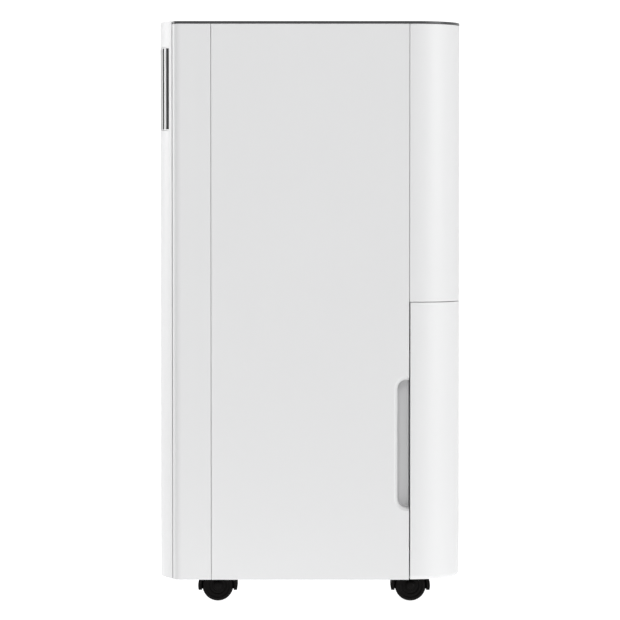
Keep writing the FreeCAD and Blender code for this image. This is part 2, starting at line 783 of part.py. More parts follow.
def make_top_cover():
    """The inner lid of the casing; the control panel lies on it and the circuit board hangs below."""
    body = make_body("top_cover")
    plan = sketch_on(body, "XY_Plane", cover_low)
    casing_outline(plan, half_width - lip_inside + size.fit)
    grow(body, "Pad", plan, size.cover_thick)
    holes = sketch_on(body, "XY_Plane", casing_top)
    for x in button_places():
        round_hole(holes, x, size.controls_y, size.button_radius + size.fit)
    grow(body, "Pocket", holes, size.cover_thick + OVERRUN)
    posts = sketch_on(body, "XY_Plane", cover_low)
    for x, y in board_posts():
        round_hole(posts, x, y, size.post_radius)
    grow(body, "Pad", posts, size.board_gap, reverse=True)
    return node("top_cover", body)


def button_places():
    """Two push buttons on each side of the display."""
    start = size.display_half + size.button_start
    return [start + size.button_spacing, start, -start, -(start + size.button_spacing)]


def board_half():
    return button_places()[0] + size.board_margin


def board_posts():
    depth = size.display_depth / 2
    half = board_half() - size.button_radius
    return [(half * x, size.controls_y + depth * y) for x in (-1, 1) for y in (-1, 1)]


def make_control_panel():
    """The dark glossy top plate, with holes for the buttons and a seat for the display."""
    body = make_body("control_panel")
    plan = sketch_on(body, "XY_Plane", casing_top)
    casing_outline(plan, 0)
    grow(body, "Pad", plan, size.plate_thick)
    edge = sketch_on(body, "XY_Plane", size.overall_height + OVERRUN)
    rectangle(edge, -half_width, front_line - OVERRUN, half_width, front_line + size.fit)
    grow(body, "Pocket", edge, size.plate_thick + 2 * OVERRUN)
    holes = sketch_on(body, "XY_Plane", size.overall_height + OVERRUN)
    for x in button_places():
        round_hole(holes, x, size.controls_y, size.button_radius + size.fit)
    grow(body, "Pocket", holes, size.plate_thick + 2 * OVERRUN)
    seat = sketch_on(body, "XY_Plane", size.overall_height)
    half_x = size.display_half + size.fit / 2
    half_y = size.display_depth / 2 + size.fit / 2
    rectangle(seat, -half_x, size.controls_y - half_y, half_x, size.controls_y + half_y)
    grow(body, "Pocket", seat, size.display_thick)
    return node("control_panel", body)


def make_display_window():
    low = size.overall_height - size.display_thick
    half_y = size.display_depth / 2
    corner = (-size.display_half, size.controls_y - half_y, low)
    opposite = (size.display_half, size.controls_y + half_y, size.overall_height)
    return node("display_window", block("display_window", corner, opposite))


def make_button(name, x):
    """A push button with a flange under the top cover that keeps it in its hole."""
    flange_top = cover_low - size.fit
    flange_low = flange_top - size.flange_thick
    shaft = rod(name + "_cap", (x, size.controls_y, flange_low), "Z", size.button_radius,
                size.overall_height - flange_low)
    flange = rod(name + "_flange", (x, size.controls_y, flange_low), "Z",
                 size.button_radius + size.button_flange, size.flange_thick)
    return node(name, fuse(name + "_whole", [shaft, flange]))


def make_control_board():
    """The circuit board with one small key switch under each button."""
    half = board_half()
    depth = size.display_depth / 2 + size.button_radius
    low = (-half, size.controls_y - depth, board_low)
    high = (half, size.controls_y + depth, board_top)
    pieces = [block("board_plate", low, high)]
    flange_low = cover_low - size.fit - size.flange_thick
    key_height = flange_low - size.button_travel - size.fit - board_top
    for x in button_places():
        pieces.append(rod("key_switch", (x, size.controls_y, board_top), "Z", size.key_radius, key_height))
    return node("control_board", fuse("board_whole", pieces))


def swivel_place(name):
    """The swivel axis of one caster."""
    side, end = caster_places[name]
    x = (half_width - size.caster_inset) * side
    front_y = front_line + size.caster_front + size.pan_wall + well_radius
    rear_y = rear_face - size.caster_rear
    return x, front_y if end < 0 else rear_y


def stud_places():
    """Three mounting feet, evenly round the compressor axis."""
    angles = [math.radians(90 + 120 * turn) for turn in range(3)]
    return [
        (compressor_x + size.foot_radius * math.cos(angle),
         size.compressor_y + size.foot_radius * math.sin(angle))
        for angle in angles
    ]


def deck_prism(name, inset, front, low, high):
    """A block under the tank that follows the casing's plan, a tongue's width inside it."""
    body = make_body(name + "_plan")
    plan = sketch_on(body, "XY_Plane", low)
    casing_outline(plan, size.tongue_inset + inset)
    grow(body, "Pad", plan, high - low)
    corner = (-half_width, front, low - OVERRUN)
    both = document.addObject("Part::MultiCommon", name)
    both.Shapes = [body, block(name + "_limit", corner, (half_width, rear_face, high + OVERRUN))]
    return both


def make_base_pan():
    """The floor of the machine: a front tray, a raised deck under the tank and four caster wells."""
    low = size.body_bottom
    side = lip_inside - size.fit
    inside = side - size.pan_wall
    front = front_line + size.wall + size.fit
    step = bulkhead_rear - size.pan_wall * 2
    floor = block("pan_floor_plate", (-side, front, low), (side, side_rear - size.seam, pan_floor))
    rim = cut(
        "pan_rim_wall",
        block("pan_rim_outer", (-side, front, low), (side, side_rear - size.seam, low + size.pan_rim)),
        [block("pan_rim_inner", (-inside, front + size.pan_wall, low - OVERRUN),
               (inside, side_rear + OVERRUN, low + size.pan_rim + OVERRUN))],
    )
    deck_outer = deck_prism("deck_outer", 0, step, low, deck_top)
    deck_inner = deck_prism("deck_inner", size.pan_wall, step + size.pan_wall, low - OVERRUN,
                            deck_top - size.pan_wall)
    skirt = cut("deck_skirt", deck_outer, [deck_inner])
    opening = deck_prism("deck_opening", size.pan_wall, step + size.pan_wall, low - OVERRUN, pan_floor)
    solids = [cut("pan_front", fuse("pan_tray", [floor, rim]), [opening]), skirt]
    tools = []
    for name in caster_places:
        x, y = swivel_place(name)
        cup_top = well_top + size.pan_wall
        boss_top = well_top + size.stem_length
        solids.append(rod(name + "_cup", (x, y, low), "Z", well_radius + size.pan_wall, cup_top - low))
        solids.append(rod(name + "_boss", (x, y, well_top), "Z", size.boss_radius, size.stem_length))
        tools.append(rod(name + "_well", (x, y, low - OVERRUN), "Z", well_radius,
                         well_top - low + OVERRUN))
        tools.append(rod(name + "_socket", (x, y, low), "Z", size.stem_radius + size.running_gap,
                         boss_top - low + OVERRUN))
    for x, y in stud_places():
        solids.append(rod("pan_stud", (x, y, pan_floor), "Z", size.stud_radius, size.stud_length))
    return node("base_pan", cut("pan", fuse("pan_solid", solids), tools))


def make_bulkhead():
    """The upright wall behind the fan, with the fan's inlet and the shelf for the coils."""
    low = (-lip_face, size.bulkhead_y, deck_top)
    high = (lip_face, bulkhead_rear, cover_low - size.fit)
    wall = block("bulkhead_wall", low, high)
    shelf_rear = bulkhead_rear + size.shelf_depth
    shelf = block("coil_shelf", (-shelf_half, bulkhead_rear, shelf_low), (shelf_half, shelf_rear, shelf_top))
    inlet = rod("bulkhead_inlet", (0, size.bulkhead_y - OVERRUN, size.fan_height), "Y", inlet_radius(),
                size.bulkhead_thick + 2 * OVERRUN)
    x, y = spout_place()
    spout = rod("spout_hole", (x, y, shelf_low - OVERRUN), "Z", size.spout_radius + size.fit,
                size.pan_wall + 2 * OVERRUN)
    holes = [inlet, spout]
    for pipe_x, pipe_z in (discharge_pass(), suction_pass()):
        start = (pipe_x, size.bulkhead_y - OVERRUN, pipe_z)
        holes.append(rod("pipe_pass", start, "Y", size.pass_radius, size.bulkhead_thick + 2 * OVERRUN))
    return node("bulkhead", cut("bulkhead_cut", fuse("bulkhead_solid", [wall, shelf]), holes))


def inlet_radius():
    return size.fan_inner + size.inlet_margin


def spout_place():
    return 0, tray_front + (tray_rear - tray_front) / 3


def make_fan_scroll():
    """The fan housing: a round chamber that opens into the duct to the front outlet."""
    rear = size.bulkhead_y
    front = rear - size.scroll_depth
    mouth = front_line + size.fit
    wall = size.wall
    drum = rod("scroll_drum", (0, front, size.fan_height), "Y", size.scroll_radius, size.scroll_depth)
    duct = block("scroll_duct", (-(duct_half + wall), mouth, duct_low - wall),
                 (duct_half + wall, rear, duct_high + wall))
    drum_hollow = rod("scroll_drum_hollow", (0, front + wall, size.fan_height), "Y",
                      size.scroll_radius - wall, size.scroll_depth - wall * 2)
    duct_hollow = block("scroll_duct_hollow", (-duct_half, mouth - OVERRUN, duct_low),
                        (duct_half, rear - wall, duct_high))
    inlet = rod("scroll_inlet", (0, rear - wall - OVERRUN, size.fan_height), "Y", inlet_radius(),
                wall + 2 * OVERRUN)
    shaft = rod("scroll_shaft_hole", (0, front - OVERRUN, size.fan_height), "Y",
                size.shaft_hole, wall + 2 * OVERRUN)
    outer = fuse("scroll_outer", [drum, duct])
    return node("fan_scroll", cut("scroll", outer, [drum_hollow, duct_hollow, inlet, shaft]))


def fan_back():
    """The fan wheel's back plate, on the motor side of the chamber."""
    return size.bulkhead_y - size.scroll_depth / 2 - size.fan_depth / 2


def make_fan_wheel():
    """A squirrel-cage wheel: back plate and hub, forward-leaning blades and a front ring."""
    body = make_body("fan_wheel")
    plate = sketch_on(body, "XZ_Plane")
    round_hole(plate, 0, 0, size.fan_radius)
    round_hole(plate, 0, 0, size.shaft_radius + size.running_gap)
    grow(body, "Pad", plate, size.fan_plate, reverse=True)

    hub = sketch_on(body, "XZ_Plane")
    round_hole(hub, 0, 0, size.fan_hub)
    round_hole(hub, 0, 0, size.shaft_radius + size.running_gap)
    grow(body, "Pad", hub, size.fan_depth / 2, reverse=True)

    ring = sketch_on(body, "XZ_Plane", -(size.fan_depth - size.fan_plate))
    round_hole(ring, 0, 0, size.fan_radius)
    round_hole(ring, 0, 0, size.fan_inner)
    grow(body, "Pad", ring, size.fan_plate, reverse=True)

    blade = sketch_on(body, "XZ_Plane", -(size.fan_plate / 2))
    half = size.blade_half
    inner = size.fan_inner + half
    outer = size.fan_radius - half * 2
    pen = Outline(blade, inner, -half)
    pen.line(outer, half * 3)
    pen.line(outer, half * 5)
    pen.line(inner, half)
    pen.close()
    one = grow(body, "Pad", blade, size.fan_depth - size.fan_plate, reverse=True)
    pattern = body.newObject("PartDesign::PolarPattern", "fan_blades")
    pattern.Originals = [one]
    pattern.Axis = (blade, ["N_Axis"])
    pattern.Angle = 360
    pattern.Occurrences = BLADE_COUNT
    body.Tip = pattern
    place(body, (0, fan_back(), size.fan_height))
    return node("fan_wheel", body)


def make_fan_motor():
    """The fan motor, flange-mounted on the front of the fan housing."""
    flange_rear = size.bulkhead_y - size.scroll_depth
    can_front = flange_rear - size.motor_length
    shaft_end = fan_back() + size.fan_depth / 2
    can = rod("motor_can", (0, can_front, size.fan_height), "Y", size.motor_radius, size.motor_length)
    flange = rod("motor_flange", (0, flange_rear - size.motor_flange, size.fan_height), "Y",
                 size.motor_flange_radius, size.motor_flange)
    shaft = rod("motor_shaft", (0, can_front, size.fan_height), "Y", size.shaft_radius, shaft_end - can_front)
    return node("fan_motor", fuse("motor_whole", [can, flange, shaft]))


def row_height(row):
    return tray_floor + size.first_row + size.row_pitch * row


def make_fins(name, front, depth):
    """A pack of thin upright fins, each with a hole for every row of the tube."""
    body = make_body(name)
    body.AllowCompound = True
    fin = sketch_on(body, "YZ_Plane", -coil_half)
    rectangle(fin, front, tray_floor, front + depth, tray_floor + size.coil_height)
    for row in range(COIL_ROWS):
        round_hole(fin, front + depth / 2, row_height(row), size.tube_radius)
    one = grow(body, "Pad", fin, size.fin_thick)
    count = 1 + int(2 * coil_half.value / size.fin_pitch.value)
    repeat(body, one, fin, "N_Axis", count, coil_half * 2 - size.fin_thick)
    return node(name, body)


def point(*numbers):
    return Vector(*[sized(number).value for number in numbers])


def tube_along(points, radius, bend):
    """A round tube along straight runs joined by tangent arcs."""
    edges = []
    here = points[0]
    for corner, after in zip(points[1:-1], points[2:]):
        into = (corner - here).normalize()
        out = (after - corner).normalize()
        reach = bend * math.tan(into.getAngle(out) / 2)
        start = corner - into * reach
        end = corner + out * reach
        inward = (out - into).normalize()
        sag = bend / math.cos(into.getAngle(out) / 2) - bend
        if (start - here).Length > 1e-6:
            edges.append(Part.LineSegment(here, start).toShape())
        edges.append(Part.Arc(start, corner + inward * sag, end).toShape())
        here = end
    if (points[-1] - here).Length > 1e-6:
        edges.append(Part.LineSegment(here, points[-1]).toShape())
    path = Part.Wire(edges)
    start_turn = (points[1] - points[0]).normalize()
    ring = Part.Wire([Part.makeCircle(radius, points[0], start_turn)])
    return path.makePipeShell([ring], True, False)


def feature(name, shape):
    item = document.addObject("Part::Feature", name)
    item.Shape = shape
    return item


def make_coil_tube(name, middle_y):
    """One tube that goes back and forth through the fins, with a tight bend at each end."""
    far = coil_end.value
    points = []
    for row in range(COIL_ROWS):
        ends = (far, -far) if row % 2 == 0 else (-far, far)
        points.extend(point(x, middle_y, row_height(row)) for x in ends)
    bend = size.row_pitch.value / 2 * BEND_SHARE
    return node(name, feature(name, tube_along(points, size.tube_radius.value, bend)))


def discharge_pass():
    """Where the hot gas pipe goes through the bulkhead."""
    return coil_end + size.pipe_lane, row_height(0)


def suction_pass():
    """Where the suction pipe goes through the bulkhead."""
    return coil_end + size.pipe_lane, row_height(2)


def accumulator_place():
    reach = size.compressor_radius + size.accumulator_gap + size.accumulator_radius
    return compressor_x + reach, size.compressor_y


def make_compressor():
    """A round hermetic can on a foot plate with three ears."""
    centre = (compressor_x, size.compressor_y)
    body = make_body("compressor_can")
    half = sketch_on(body, "XZ_Plane")
    soft = size.compressor_round
    top = size.compressor_height
    pen = Outline(half, 0, 0)
    pen.line(size.compressor_radius - soft, 0)
    pen.arc(size.compressor_radius - soft, soft, size.compressor_radius, soft)
    pen.line(size.compressor_radius, top - soft)
    pen.arc(size.compressor_radius - soft, top - soft, size.compressor_radius - soft, top)
    pen.line(0, top)
    pen.close()
    turned = body.newObject("PartDesign::Revolution", "compressor_turned")
    turned.Profile = half
    turned.ReferenceAxis = (half, ["V_Axis"])
    turned.Angle = 360
    body.Tip = turned
    place(body, (*centre, can_low))
    pieces = [body]
    holes = []
    pieces.append(rod("foot_disc", (*centre, foot_plate_low), "Z", size.compressor_radius, size.foot_plate))
    for x, y in stud_places():
        pieces.append(rod("foot_ear", (x, y, foot_plate_low), "Z", size.ear_radius, size.foot_plate))
        holes.append(rod("foot_hole", (x, y, foot_plate_low - OVERRUN), "Z", size.neck_radius,
                         size.foot_plate + 2 * OVERRUN))
    link = size.foot_radius - size.compressor_radius / 2
    for turn in range(3):
        angle = 90 + 120 * turn
        arm = document.addObject("Part::Box", "foot_arm")
        tie(arm, "Length", link)
        tie(arm, "Width", size.arm_width)
        tie(arm, "Height", size.foot_plate)
        across = Vector(-math.sin(math.radians(angle)), math.cos(math.radians(angle)), 0)
        along = Vector(math.cos(math.radians(angle)), math.sin(math.radians(angle)), 0)
        start_x = centre[0] + size.compressor_radius / 2 * along.x - size.arm_width / 2 * across.x
        start_y = centre[1] + size.compressor_radius / 2 * along.y - size.arm_width / 2 * across.y
        place(arm, (start_x, start_y, foot_plate_low), Rotation(Vector(0, 0, 1), angle))
        pieces.append(arm)
    return node("compressor", cut("compressor_cut", fuse("compressor_solid", pieces), holes))


def make_compressor_grommets():
    """Three rubber spools between the studs and the foot plate."""
    spools = []
    whole = size.grommet_height + size.foot_plate + size.collar_thick
    for x, y in stud_places():
        lower = rod("spool_lower", (x, y, pan_floor), "Z", size.collar_radius, size.grommet_height)
        neck = rod("spool_neck", (x, y, foot_plate_low), "Z", size.neck_radius, size.foot_plate)
        top = rod("spool_top", (x, y, can_low), "Z", size.collar_radius, size.collar_thick)
        bore = rod("spool_bore", (x, y, pan_floor - OVERRUN), "Z", size.stud_radius, whole + 2 * OVERRUN)
        spools.append(cut("spool", fuse("spool_solid", [lower, neck, top]), [bore]))
    return node("compressor_grommets", group("grommet_group", spools))


def group(name, shapes):
    item = document.addObject("Part::Compound", name)
    item.Links = shapes
    return item


def make_compressor_nuts():
    nuts = []
    low = can_low + size.collar_thick
    for x, y in stud_places():
        prism = document.addObject("Part::Prism", "nut_prism")
        prism.Polygon = 6
        tie(prism, "Circumradius", size.nut_radius)
        tie(prism, "Height", size.nut_height)
        place(prism, (x, y, low))
        bore = rod("nut_bore", (x, y, low - OVERRUN), "Z", size.stud_radius,
                   size.nut_height + 2 * OVERRUN)
        nuts.append(cut("nut", prism, [bore]))
    return node("compressor_nuts", group("nut_group", nuts))


def accumulator_low():
    return can_low + size.accumulator_low


def make_suction_accumulator():
    """The small can beside the compressor, with the pipe into the compressor's side."""
    x, y = accumulator_place()
    low = accumulator_low()
    can = rod("accumulator_can", (x, y, low), "Z", size.accumulator_radius, size.accumulator_height)
    elbow_low = low - size.elbow_drop
    reach = x - compressor_x - size.compressor_radius
    leg = [point(x, y, low + OVERRUN), point(x, y, elbow_low), point(x - reach, y, elbow_low)]
    elbow = feature("accumulator_elbow", tube_along(leg, size.tube_radius.value, size.tight_bend.value))
    return node("suction_accumulator", fuse("accumulator", [can, elbow]))


def make_pipes():
    """Refrigerant pipes between the compressor, the two coils and the accumulator."""
    radius = size.tube_radius.value
    bend = size.pipe_bend.value
    can_top = can_low + size.compressor_height
    out_x, out_z = discharge_pass()
    over = can_top + size.pipe_rise
    lane = size.compressor_y + size.hot_lane
    hot = [
        point(compressor_x, size.compressor_y, can_top),
        point(compressor_x, size.compressor_y, over),
        point(compressor_x, lane, over),
        point(out_x, lane, over),
        point(out_x, lane, out_z),
        point(out_x, condenser_middle, out_z),
        point(coil_end, condenser_middle, out_z),
    ]
    node("discharge_pipe", feature("discharge_pipe", tube_along(hot, radius, bend)))

    in_x, in_z = suction_pass()
    x, y = accumulator_place()
    high = over + size.pipe_step
    cold = [
        point(coil_end, evaporator_middle, row_height(0)),
        point(in_x, evaporator_middle, row_height(0)),
        point(in_x, evaporator_middle, in_z),
        point(in_x, y, in_z),
        point(in_x, y, high),
        point(x, y, high),
        point(x, y, accumulator_low() + size.accumulator_height),
    ]
    node("suction_pipe", feature("suction_pipe", tube_along(cold, radius, bend)))

    last = COIL_ROWS - 1
    thin_x = coil_end + size.capillary_reach
    span = [
        point(coil_end, condenser_middle, row_height(last)),
        point(thin_x, condenser_middle, row_height(last)),
        point(thin_x, evaporator_middle, row_height(last)),
        point(coil_end, evaporator_middle, row_height(last)),
    ]
    thin = tube_along(span, size.capillary_radius.value, size.tight_bend.value)
    node("capillary_tube", feature("capillary_tube", thin))


def make_run_capacitor():
    start = (half_width - size.capacitor_inset, size.capacitor_y, pan_floor)
    can = rod("capacitor", start, "Z", size.capacitor_radius, size.capacitor_height)
    return node("run_capacitor", can)


def make_drip_tray():
    """The tray under both coils, with a spout over the tank."""
    wall = size.tray_wall
    side = shelf_half - size.coil_gap
    top = shelf_top + size.tray_height
    outer = block("tray_outer", (-side, tray_front, shelf_top), (side, tray_rear, top))
    x, y = spout_place()
    length = size.spout_length
    spout = rod("tray_spout", (x, y, shelf_top - length), "Z", size.spout_radius, length + wall / 2)
    hollow = block("tray_hollow", (wall - side, tray_front + wall, tray_floor),
                   (side - wall, tray_rear - wall, top + OVERRUN))
    bore = rod("spout_bore", (x, y, shelf_top - length - OVERRUN), "Z", size.spout_bore,
               length + wall + 2 * OVERRUN)
    return node("drip_tray", cut("tray", fuse("tray_solid", [outer, spout]), [hollow, bore]))


def make_tank_cover():
    """The outer face of the tank, which carries on the shape of the rear shell."""
    body = make_body("tank_cover")
    start = side_rear - size.seam / 2 + size.tank_gap
    top = size.tank_top - size.seam / 2
    wrap = sketch_on(body, "XY_Plane", size.body_bottom)
    rear_wrap(wrap, size.tank_wall, start)
    grow(body, "Pad", wrap, top - size.body_bottom)
    flange = sketch_on(body, "XY_Plane", size.body_bottom)
    rear_wrap(flange, size.tank_flange, start)
    turned_in = grow(body, "Pad", flange, size.tank_wall)
    document.recompute()
    low = size.body_bottom.value
    corner = rear_face.value - size.rear_corner.value
    edges = []
    for number, edge in enumerate(turned_in.Shape.Edges, start=1):
        box = edge.BoundBox
        flat = abs(box.ZMin - low) < TOUCHING and abs(box.ZMax - low) < TOUCHING
        on_side = max(abs(box.XMin), abs(box.XMax)) > half_width.value - TOUCHING
        outer = on_side or box.YMax > rear_face.value - TOUCHING
        rim = box.YLength > size.tank_wall.value or box.YMin > corner
        if flat and outer and rim:
            edges.append(f"Edge{number}")
    soft = body.newObject("PartDesign::Fillet", "tank_edge")
    soft.Base = (turned_in, edges)
    tie(soft, "Radius", size.tank_edge_round)
    body.Tip = soft
    return node("tank_cover", body)


def make_tank_tub():
    """The open tub that holds the water."""
    body = make_body("tank_tub")
    outer = sketch_on(body, "XY_Plane", tub_low)
    rounded(outer, -tub_half, tub_front, tub_half, tub_rear, tub_corner)
    grow(body, "Pad", outer, size.tub_height)
    wall = size.tub_wall
    inner = sketch_on(body, "XY_Plane", tub_top)
    side = tub_half - wall
    rounded(inner, -side, tub_front + wall, side, tub_rear - wall, tub_corner - wall)
    grow(body, "Pocket", inner, size.tub_height - size.pan_wall)
    return node("tank_tub", body)


def handle_axis():
    """The handle's pivot line runs across the lid."""
    return tub_rear - size.handle_reach - size.handle_rest, lid_top + size.handle_height


def float_axis():
    return tub_front + size.float_pivot_inset, tub_top - size.float_pivot_drop


def float_side():
    return tub_half / 2


def make_tank_lid():
    """The lid, with the filling hole, the lugs of the handle and the two ears of the float."""
    plate = make_body("lid_plate")
    plan = sketch_on(plate, "XY_Plane", tub_top)
    side = tub_half - size.fit
    rounded(plan, -side, tub_front + size.fit, side, tub_rear - size.fit, tub_corner)
    grow(plate, "Pad", plan, size.lid_thick)
    x, y = spout_place()
    hole = rod("lid_hole", (x, y, tub_top - OVERRUN), "Z", size.lid_hole, size.lid_thick + 2 * OVERRUN)
    pieces = [plate]
    tools = [hole]
    pivot_y, pivot_z = handle_axis()
    lug = size.lug_radius
    lug_x = handle_half + size.handle_bar + size.fit
    for low_x in (lug_x, -(lug_x + size.lug_thick)):
        corner = (low_x, pivot_y - lug, lid_top)
        pieces.append(block("handle_lug", corner, (low_x + size.lug_thick, pivot_y + lug, pivot_z + lug)))
        tools.append(rod("handle_bore", (low_x - OVERRUN, pivot_y, pivot_z), "X",
                         size.handle_pin + size.running_gap, size.lug_thick + 2 * OVERRUN))
    hinge_y, hinge_z = float_axis()
    ear = size.ear_thick
    for ear_x in (float_side() - size.float_ears, float_side() + size.float_ears - ear):
        corner = (ear_x, hinge_y - lug, hinge_z - lug)
        pieces.append(block("float_ear", corner, (ear_x + ear, hinge_y + lug, tub_top)))
        tools.append(rod("float_bore", (ear_x - OVERRUN, hinge_y, hinge_z), "X",
                         size.float_pin + size.running_gap, ear + 2 * OVERRUN))
    return node("tank_lid", cut("lid", fuse("lid_solid", pieces), tools))


def make_tank_handle():
    """A bail: a bar, two arms and the pins that turn in the lugs of the lid."""
    pivot_y, pivot_z = handle_axis()
    bar_y = pivot_y + size.handle_reach
    half = handle_half
    bar = rod("handle_bar", (-(half + size.handle_bar), bar_y, pivot_z), "X", size.handle_bar,
              (half + size.handle_bar) * 2)
    pieces = [bar]
    for side in (1, -1):
        arm_x = half * side
        pieces.append(rod("handle_arm", (arm_x, pivot_y, pivot_z), "Y", size.handle_arm, size.handle_reach))
        pieces.append(rod("handle_eye", (arm_x - size.handle_bar, pivot_y, pivot_z), "X",
                          size.handle_bar, size.handle_bar * 2))
        start = arm_x if side > 0 else arm_x - size.pin_length
        pieces.append(rod("handle_pin", (start, pivot_y, pivot_z), "X", size.handle_pin, size.pin_length))
    return node("tank_handle", fuse("handle_whole", pieces))


def make_tank_float():
    """The float that rises with the water and tells the machine that the tank is full."""
    hinge_y, hinge_z = float_axis()
    half = size.float_ears - size.ear_thick - size.fit
    low_x = float_side() - half
    high_x = float_side() + half
    thick = size.float_pin
    pin_start = float_side() - size.float_ears
    pin = rod("float_pin", (pin_start, hinge_y, hinge_z), "X", size.float_pin, size.float_ears * 2)
    arm = block("float_arm", (low_x, hinge_y - thick, hinge_z - thick),
                (high_x, hinge_y + size.float_reach / 2, hinge_z + thick))
    bulb = block("float_bulb", (low_x, hinge_y + size.bulb_start, hinge_z - size.float_drop),
                 (high_x, hinge_y + size.float_reach, hinge_z + thick))
    return node("tank_float", fuse("float_whole", [pin, arm, bulb]))


def make_tank_switch():
    """The switch on the bulkhead that feels the tank."""
    side = float_side()
    top = tub_top - size.switch_drop
    case = block("switch_case", (side, bulkhead_rear, top - size.switch_width),
                 (side + size.switch_width, bulkhead_rear + size.switch_depth, top))
    start = (side + size.plunger_offset, bulkhead_rear, tub_top - size.plunger_drop)
    length = tub_front - size.fit - bulkhead_rear
    plunger = rod("switch_plunger", start, "Y", size.plunger_radius, length)
    return node("tank_switch", fuse("switch_whole", [case, plunger]))


def make_intake_grille():
    """The slotted plate that fills the intake opening."""
    body = make_body("intake_grille")
    rear = sketch_on(body, "XZ_Plane", -(rear_face - size.grille_thick))
    side = intake_half - size.fit
    low = size.intake_low + size.fit
    high = size.intake_high - size.fit
    rectangle(rear, -side, low, side, high)
    grow(body, "Pad", rear, size.grille_thick, reverse=True)
    slot = sketch_on(body, "XZ_Plane", -(rear_face - size.grille_thick - OVERRUN))
    count = int((high.value - low.value - 2 * size.grille_border.value) / size.slot_pitch.value)
    span = size.slot_pitch * (count - 1)
    first = (low + high) / 2 - span / 2
    slot_side = side - size.grille_border
    rectangle(slot, -slot_side, first - size.slot_height / 2, slot_side, first + size.slot_height / 2)
    opening = grow(body, "Pocket", slot, size.grille_thick + 2 * OVERRUN)
    repeat(body, opening, slot, "V_Axis", count, span)
    return node("intake_grille", body)


def filter_box():
    """The filter frame lies just inside the grille, a little smaller than the opening."""
    side = intake_half - size.filter_gap
    rear = rear_face - size.grille_thick
    return side, rear - size.filter_depth, rear


def make_filter_frame():
    side, front, rear = filter_box()
    low = size.intake_low + size.filter_gap
    high = size.intake_high - size.filter_gap
    bar = size.filter_bar
    outer = block("frame_outer", (-side, front, low), (side, rear, high))
    hole = block("frame_hole", (bar - side, front - OVERRUN, low + bar),
                 (side - bar, rear + OVERRUN, high - bar))
    cross = block("frame_cross", (-(bar / 2), front, low), (bar / 2, front + bar / 2, high))
    return node("filter_frame", fuse("frame_whole", [cut("frame", outer, [hole]), cross]))


def make_filter_mesh():
    side, front, rear = filter_box()
    bar = size.filter_bar
    low = size.intake_low + size.filter_gap + bar
    high = size.intake_high - size.filter_gap - bar
    start = front + bar / 2
    mesh = block("mesh", (bar - side, start, low), (side - bar, start + size.mesh_thick, high))
    return node("filter_mesh", mesh)


def make_caster(name):
    """One swivel caster: hood with its stem, axle and two wheels; the axle trails the stem."""
    x, y = swivel_place(name)
    axle_y = y + size.trail
    axle_z = size.wheel_radius
    web = size.web_thick / 2
    wheel_start = web + size.fit
    half = wheel_start + size.wheel_width + size.fit
    clear = size.wheel_radius + size.hood_gap
    collar_top = well_top - size.fit
    hood = rod(name + "_hood", (x - half, axle_y, axle_z), "X", hood_radius, half * 2)
    collar = rod(name + "_collar", (x, y, axle_z), "Z", size.stem_collar, collar_top - axle_z)
    stem = rod(name + "_stem", (x, y, collar_top), "Z", size.stem_radius, size.stem_length)
    reach = hood_radius * 2
    below = block(name + "_below", (x - reach, axle_y - reach, -hood_radius),
                  (x + reach, axle_y + reach, size.hood_low))
    tools = [below]
    for side in (1, -1):
        start = x + web if side > 0 else x - web - hood_radius
        tools.append(rod(name + "_clear", (start, axle_y, axle_z), "X", clear, hood_radius))
    web_disc = rod(name + "_web", (x - web, axle_y, axle_z), "X", size.wheel_radius * WEB_SHARE, web * 2)
    bore = rod(name + "_bore", (x - half, axle_y, axle_z), "X", size.axle_radius, half * 2)
    shell = cut(name + "_shell", fuse(name + "_solid", [hood, collar]), tools)
    whole = fuse(name + "_whole", [shell, stem, web_disc])
    node(f"caster_{name}_fork", cut(name + "_fork", whole, [bore]))
    axle = rod(name + "_axle", (x - half, axle_y, axle_z), "X", size.axle_radius, half * 2)
    node(f"caster_{name}_axle", axle)
    for label, side in (("outer", 1), ("inner", -1)):
        direction = side if x.value > 0 else -side
        wheel = make_wheel(f"{name}_{label}_wheel", x, axle_y, axle_z, direction)
        node(f"caster_{name}_{label}_wheel", wheel)


def make_wheel(name, x, y, z, direction):
    """A wheel turned about X, with rounded tread edges and a shallow dish on its outer face."""
    body = make_body(name)
    half = sketch_on(body, "XY_Plane")
    bore = size.axle_radius + size.running_gap
    soft = size.wheel_round
    outer = size.wheel_radius
    width = size.wheel_width
    dish = size.wheel_radius * DISH_SHARE
    pen = Outline(half, 0, bore)
    pen.line(width, bore)
    pen.line(width, size.wheel_hub)
    pen.line(width - size.dish_depth, size.wheel_hub)
    pen.line(width - size.dish_depth, dish)
    pen.line(width, dish)
    pen.line(width, outer - soft)
    pen.arc(width - soft, outer - soft, width - soft, outer)
    pen.line(soft, outer)
    pen.arc(soft, outer - soft, 0, outer - soft)
    pen.close()
    turned = body.newObject("PartDesign::Revolution", name + "_turned")
    turned.Profile = half
    turned.ReferenceAxis = (half, ["H_Axis"])
    turned.Angle = 360
    body.Tip = turned
    start = size.web_thick / 2 + size.fit
    turn = Rotation() if direction > 0 else Rotation(Vector(0, 0, 1), 180)
    return place(body, (x + start * direction, y, z), turn)


